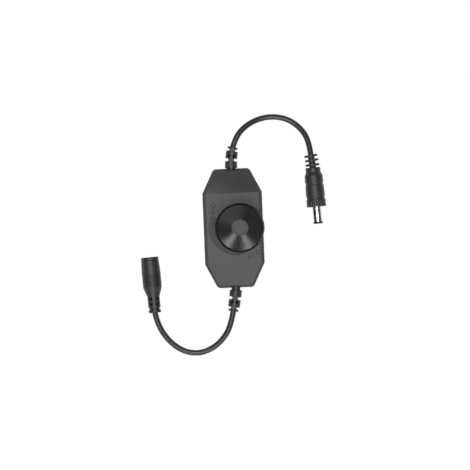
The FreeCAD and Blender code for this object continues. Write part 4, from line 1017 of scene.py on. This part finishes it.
turned_barrel = spun("turned_barrel", [
    (BARREL_ROOT_RADIUS, BARREL_ROOT), (BARREL_ROOT_RADIUS, PLUG_FRONT - 0.02),
    (BARREL_RADIUS, PLUG_FRONT), (BARREL_RADIUS, PLUG_TIP - LINING_RING, 0.12),
    (BARREL_INSIDE, PLUG_TIP - LINING_RING), (BARREL_INSIDE, BARREL_ROOT),
    (BARREL_ROOT_RADIUS, BARREL_ROOT)])
lay_down(turned_barrel, PLUG_REAR)
settle(turned_barrel, HOUSING, "nickel", "plug_barrel")

turned_lining = spun("turned_lining", [
    (LINING_RADII[1], BARREL_ROOT), (LINING_RADII[1], PLUG_TIP - LINING_RING),
    (BARREL_RADIUS, PLUG_TIP - LINING_RING, 0.08), (BARREL_RADIUS, PLUG_TIP, 0.35),
    (LINING_RADII[0], PLUG_TIP, 0.15), (LINING_RADII[0], BARREL_ROOT),
    (LINING_RADII[1], BARREL_ROOT)])
lay_down(turned_lining, PLUG_REAR)
settle(turned_lining, HOUSING, "insert_plastic", "plug_insulator")

# %% [markdown]
# ## The barrel jack
#
# The jack's housing is the same soft vinyl, spun round the socket insert: a lip at the mouth, a
# set of fine finger grooves, a cone and a slim neck. Above and below, the neck has pairs of
# windows on both sides of a web, so that it bends sideways as a moulded strain relief does, and a
# ring groove near its end lets the cord leave it softly.

# %% Jack
JACK_MOUTH = (-50.05, -15.1, 5.6)
JACK_SOCKET = 4.0
JACK_SOCKET_DEPTH = 13.0
JACK_LIP = 5.2
JACK_BODY = 5.6
JACK_GROOVES = 7
JACK_GROOVE_START = 10.4
JACK_GROOVE_PITCH = 7.1 / JACK_GROOVES
JACK_NECK = 3.6
JACK_NECK_END = 32.8
JACK_RING = (30.0, 31.0)

section = [(JACK_SOCKET, 0), (JACK_LIP, 0, 0.5), (JACK_LIP, 1.5), (JACK_LIP - 0.25, 1.75, 0.1),
           (JACK_LIP, 2.0), (JACK_BODY, JACK_GROOVE_START)]
for groove in range(JACK_GROOVES):
    start = JACK_GROOVE_START + (groove + 0.3) * JACK_GROOVE_PITCH
    section += [(JACK_BODY, start, 0.08), (JACK_BODY - 0.3, start + 0.1, 0.05),
                (JACK_BODY - 0.3, start + 0.3, 0.05), (JACK_BODY, start + 0.4, 0.08)]
section += [(JACK_BODY, 17.5, 1.0), (JACK_NECK, 23.4, 1.0), (JACK_NECK, JACK_RING[0], 0.15),
            (3.0, JACK_RING[0]), (3.0, JACK_RING[1]), (JACK_NECK, JACK_RING[1], 0.15),
            (JACK_NECK, JACK_NECK_END, 0.4), (0, JACK_NECK_END), (0, JACK_SOCKET_DEPTH),
            (JACK_SOCKET, JACK_SOCKET_DEPTH), (JACK_SOCKET, 0)]
turned_jack = spun("turned_jack", section)

# %% The jack's windows
JACK_WINDOWS = (23.9, 27.0)
JACK_WINDOW_LENGTH = 1.2
JACK_WINDOW_SIDES = (1.0, 2.9)
JACK_WEB = 0.8


def window_floor(height, depth):
    """A test for the floors of the windows, which lie at a depth above and below a height."""
    def is_floor(face):
        off = abs(middle(face).z / MM - height)
        return abs(face.normal.z) > 0.9 and abs(off - depth) < 0.15
    return is_floor


for low in JACK_WINDOWS:
    for side in SIDES:
        for face in SIDES:
            left, right = sorted(side * edge for edge in JACK_WINDOW_SIDES)
            inner, outer = sorted((face * JACK_WEB, face * 2 * JACK_NECK))
            combine(turned_jack, bar((left, inner, low), (right, outer, low + JACK_WINDOW_LENGTH)))
lay_down(turned_jack, JACK_MOUTH)
settle(turned_jack, HOUSING, "soft_vinyl", "jack_body")
# Painted shade: the windows' floors are made near black.
paint(turned_jack, "window_painted_shade", window_floor(JACK_MOUTH[2], JACK_WEB))

# %% [markdown]
# ## The strain reliefs
#
# Each relief is a stack of short soft lengths joined by flat webs, so that it flexes sideways but
# keeps the cord from kinking. It is spun straight, gets its webs and windows, and is then laid
# along a short drawn path by a Curve modifier, which bends it as its cord does. Turning its faces
# by hand would pinch the windows.

# %% The reliefs' section and path
RELIEF_LENGTH = 12.8
RELIEF_TAIL = -7.0
RELIEF_FLANGE = -4.0
RELIEF_CORE = 1.8
PATH_STEPS = 16


def relief_section(proud):
    """Half the section of the round parts, from the cord's tail to the last ring."""
    tail = RELIEF_TAIL - proud
    flange = RELIEF_FLANGE - proud
    return [(0, tail), (1.7, tail), (1.7, flange), (3.2, flange, 0.2), (3.2, flange + 1.3),
            (2.6, flange + 1.3), (2.6, 0.25), (3.6, 0.25, 0.3), (3.6, 4.3, 0.3),
            (RELIEF_CORE, 4.3), (RELIEF_CORE, 5.9), (3.5, 5.9, 0.3), (3.5, 10.3, 0.3),
            (RELIEF_CORE, 10.3), (RELIEF_CORE, 11.5), (3.0, 11.5, 0.3),
            (3.0, RELIEF_LENGTH, 0.3), (0, RELIEF_LENGTH)]


def relief_path(name, proud, lean, bend):
    """A drawn path that leans from the relief's root and bends on its way."""
    path = bpy.data.curves.new(name + "_path", "CURVE")
    path.dimensions = "3D"
    line = path.splines.new("POLY")
    place = Vector((0, 0, 0))
    places = [Vector((0, RELIEF_TAIL - proud, 0)), place.copy()]
    for step in range(PATH_STEPS):
        turn = math.radians(lean + bend * (step + 0.5) / PATH_STEPS)
        place += Vector((math.sin(turn), math.cos(turn), 0)) * RELIEF_LENGTH / PATH_STEPS
        places.append(place.copy())
    line.points.add(len(places) - 1)
    for point, spot in zip(line.points, places):
        point.co = (*spot, 1)
    guide = bpy.data.objects.new(path.name, path)
    bpy.context.scene.collection.objects.link(guide)
    return guide


# %% Strain reliefs
RELIEF_WEBS = ((3.8, 6.4), (9.8, 12.0))
WEB_REACH = (2.6, 1.82)
RELIEF_WINDOW = (6.5, 8.1)
RELIEF_WINDOW_SIDES = (0.65, 2.0)
RELIEF_WEB = 0.4
RELIEF_CUT = 7.0


def relief(name, node, proud, lean, bend, turned):
    """One relief, proud of its end wall, laid along its path and put at its end."""
    piece = spun(name, relief_section(proud), 64)
    for low, high in RELIEF_WEBS:
        web = bar((-WEB_REACH[0], -WEB_REACH[1], low), (WEB_REACH[0], WEB_REACH[1], high))
        combine(piece, web, "UNION")
    for side in SIDES:
        for face in SIDES:
            inner, outer = sorted((face * RELIEF_WEB, face * RELIEF_CUT))
            left, right = sorted(side * edge for edge in RELIEF_WINDOW_SIDES)
            window = bar((inner, left, RELIEF_WINDOW[0]), (outer, right, RELIEF_WINDOW[1]))
            combine(piece, window)
    only(piece)
    piece.rotation_euler = (math.radians(-90), 0, 0)
    piece.location = (0, proud - RELIEF_TAIL, 0)
    apply_place()
    guide = relief_path(name, proud, lean, bend)
    follow = piece.modifiers.new("follow", "CURVE")
    follow.object = guide
    follow.deform_axis = "POS_Y"
    bpy.ops.object.modifier_apply(modifier=follow.name)
    bpy.data.objects.remove(guide)
    piece.location = (0, BODY_LENGTH / 2 + proud, PARTING)
    apply_place()
    piece.rotation_euler = (0, 0, math.radians(180 if turned else 0))
    start_edit(piece)
    face_outwards()
    stop_edit()
    settle(piece, HOUSING, "soft_vinyl", node)
    # Painted shade: the windows' floors are made near black.
    paint(piece, "window_painted_shade", window_floor(PARTING, RELIEF_WEB))


relief("output_sleeve", "output_relief", 0.0, 0.0, 14.0, False)
relief("input_sleeve", "input_relief", 1.2, 8.0, 3.0, True)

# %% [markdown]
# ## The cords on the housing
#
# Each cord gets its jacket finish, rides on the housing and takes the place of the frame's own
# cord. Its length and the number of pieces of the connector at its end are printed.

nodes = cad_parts
plug_pieces = [turned_plug, turned_barrel, turned_lining, nodes["plug_contact"]]
jack_pieces = [turned_jack, nodes["jack_insulator"], nodes["jack_sleeve"], nodes["jack_pin"]]
CORDS = [(output_cord, "output_cable", OUTPUT_ROUTE, 0.0676, "plug", plug_pieces),
         (input_cord, "input_cable", INPUT_ROUTE, 0.0732, "connector", jack_pieces)]
for cord, node, route, length, far_end, pieces in CORDS:
    cord.data.materials.append(FINISHES["cable_jacket"])
    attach(cord, HOUSING)
    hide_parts(node)
    [c * MM for c in route[0]]
    print(cord.name, "is", round(length / MM), "mm long and carries", len(pieces), "pieces")

# %% [markdown]
# ## A white ground
#
# The picture has a pure white ground with hardly a shadow. More light would bleach the dimmer, so
# the floor is white only to the camera and in reflections, where Light Path mixes in a glow, and
# keeps a faint shadow. From below it is clear, so that the underside can be seen.

# %% Floor
FLOOR_SIDE = 8.0
FLOOR_DROP = 0.05 * MM
FLOOR_TONE = 0.8
GLOW = 1.03
GLOW_SHARE = 0.93

bpy.ops.object.select_all(action="DESELECT")
bpy.ops.mesh.primitive_plane_add(size=FLOOR_SIDE, location=(0, 0, -FLOOR_DROP))
floor = bpy.context.object
floor.name = "floor"
floor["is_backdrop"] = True
white = Finish("floor_white")
white.set(Base_Color=(FLOOR_TONE,) * 3, Roughness=0.9, Specular_IOR_Level=0.1)
camera_ray = white.node("ShaderNodeLightPath", {}, {}, "Is Camera Ray")
glossy_ray = white.node("ShaderNodeLightPath", {}, {}, "Is Glossy Ray")
seen = white.node("ShaderNodeMath", {"operation": "MAXIMUM"}, {0: camera_ray, 1: glossy_ray})
lit = Shade(white, white.surface.outputs[0])
glow = white.node("ShaderNodeEmission", {}, {"Strength": GLOW})
above = white.node("ShaderNodeMixShader", {}, {0: seen * GLOW_SHARE, 1: lit, 2: glow})
clear = white.node("ShaderNodeBsdfTransparent", {}, {})
is_below = white.node("ShaderNodeNewGeometry", {}, {}, "Backfacing")
whole = white.node("ShaderNodeMixShader", {}, {0: is_below, 1: above, 2: clear})
white.put(white.tree.nodes["Material Output"].inputs[0], whole)
floor.data.materials.append(white.material)

# %% World
WORLD_LIGHT = 0.12

world = bpy.data.worlds.new("studio")
bpy.context.scene.world = world
world.use_nodes = True
tree = world.node_tree
dim = tree.nodes["Background"]
bright = tree.nodes.new("ShaderNodeBackground")
for background, strength in ((dim, WORLD_LIGHT), (bright, 1.0)):
    background.inputs["Color"].default_value = (1, 1, 1, 1)
    background.inputs["Strength"].default_value = strength
ray = tree.nodes.new("ShaderNodeLightPath")
mix = tree.nodes.new("ShaderNodeMixShader")
tree.links.new(ray.outputs["Is Camera Ray"], mix.inputs[0])
tree.links.new(dim.outputs[0], mix.inputs[1])
tree.links.new(bright.outputs[0], mix.inputs[2])
tree.links.new(mix.outputs[0], tree.nodes["World Output"].inputs[0])

# %% [markdown]
# ## The lamps
#
# Two bright wedges on the knob's cone tell where the main lamps stand: to the south-east and the
# south-west, both high up. A wide lamp overhead greys the flat top, a low bank in the south lifts
# the southern slope and the connectors, and a weak one in the north-west lights the cone's far
# side. Small lamps would make hard glints, so all are wide, and none is seen itself.

# %% Lamps
LAMP_DISTANCE = 1.2


def lamp(name, heading, tilt, width, depth, radiance):
    """A soft lamp seen from the object at a heading, tilted from straight above."""
    heading = math.radians(heading)
    tilt = math.radians(tilt)
    towards = Vector((math.cos(heading) * math.sin(tilt), math.sin(heading) * math.sin(tilt),
                      math.cos(tilt)))
    bpy.ops.object.select_all(action="DESELECT")
    bpy.ops.object.light_add(type="AREA", location=towards * LAMP_DISTANCE)
    made = bpy.context.object
    made.name = name
    made.rotation_mode = "QUATERNION"
    made.rotation_quaternion = towards.to_track_quat("Z", "Y")
    made.data.shape = "RECTANGLE"
    made.data.size = width
    made.data.size_y = depth
    made.data.energy = radiance * width * depth * math.pi
    made.visible_camera = False
    print(name, round(made.data.energy, 2), "W")


lamp("overhead", 90, 2, 0.65, 0.4, 7.0)
lamp("key_south_east", -67, 28, 0.22, 0.4, 6.4)
lamp("key_south_west", -130, 28, 0.22, 0.4, 6.6)
lamp("south_bank", -90, 50, 0.9, 0.3, 5.2)
lamp("fill_north_west", 118, 30, 0.9, 0.5, 0.75)

# %% [markdown]
# ## Colour and size
#
# A product picture keeps its whites white, which the plain Standard view does. The box of the
# dressed dimmer is printed in millimetres.

bpy.context.scene.view_settings.view_transform = "Standard"
low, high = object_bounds()
print("box of the dressed dimmer", [round(side / MM, 1) for side in high - low], "mm")
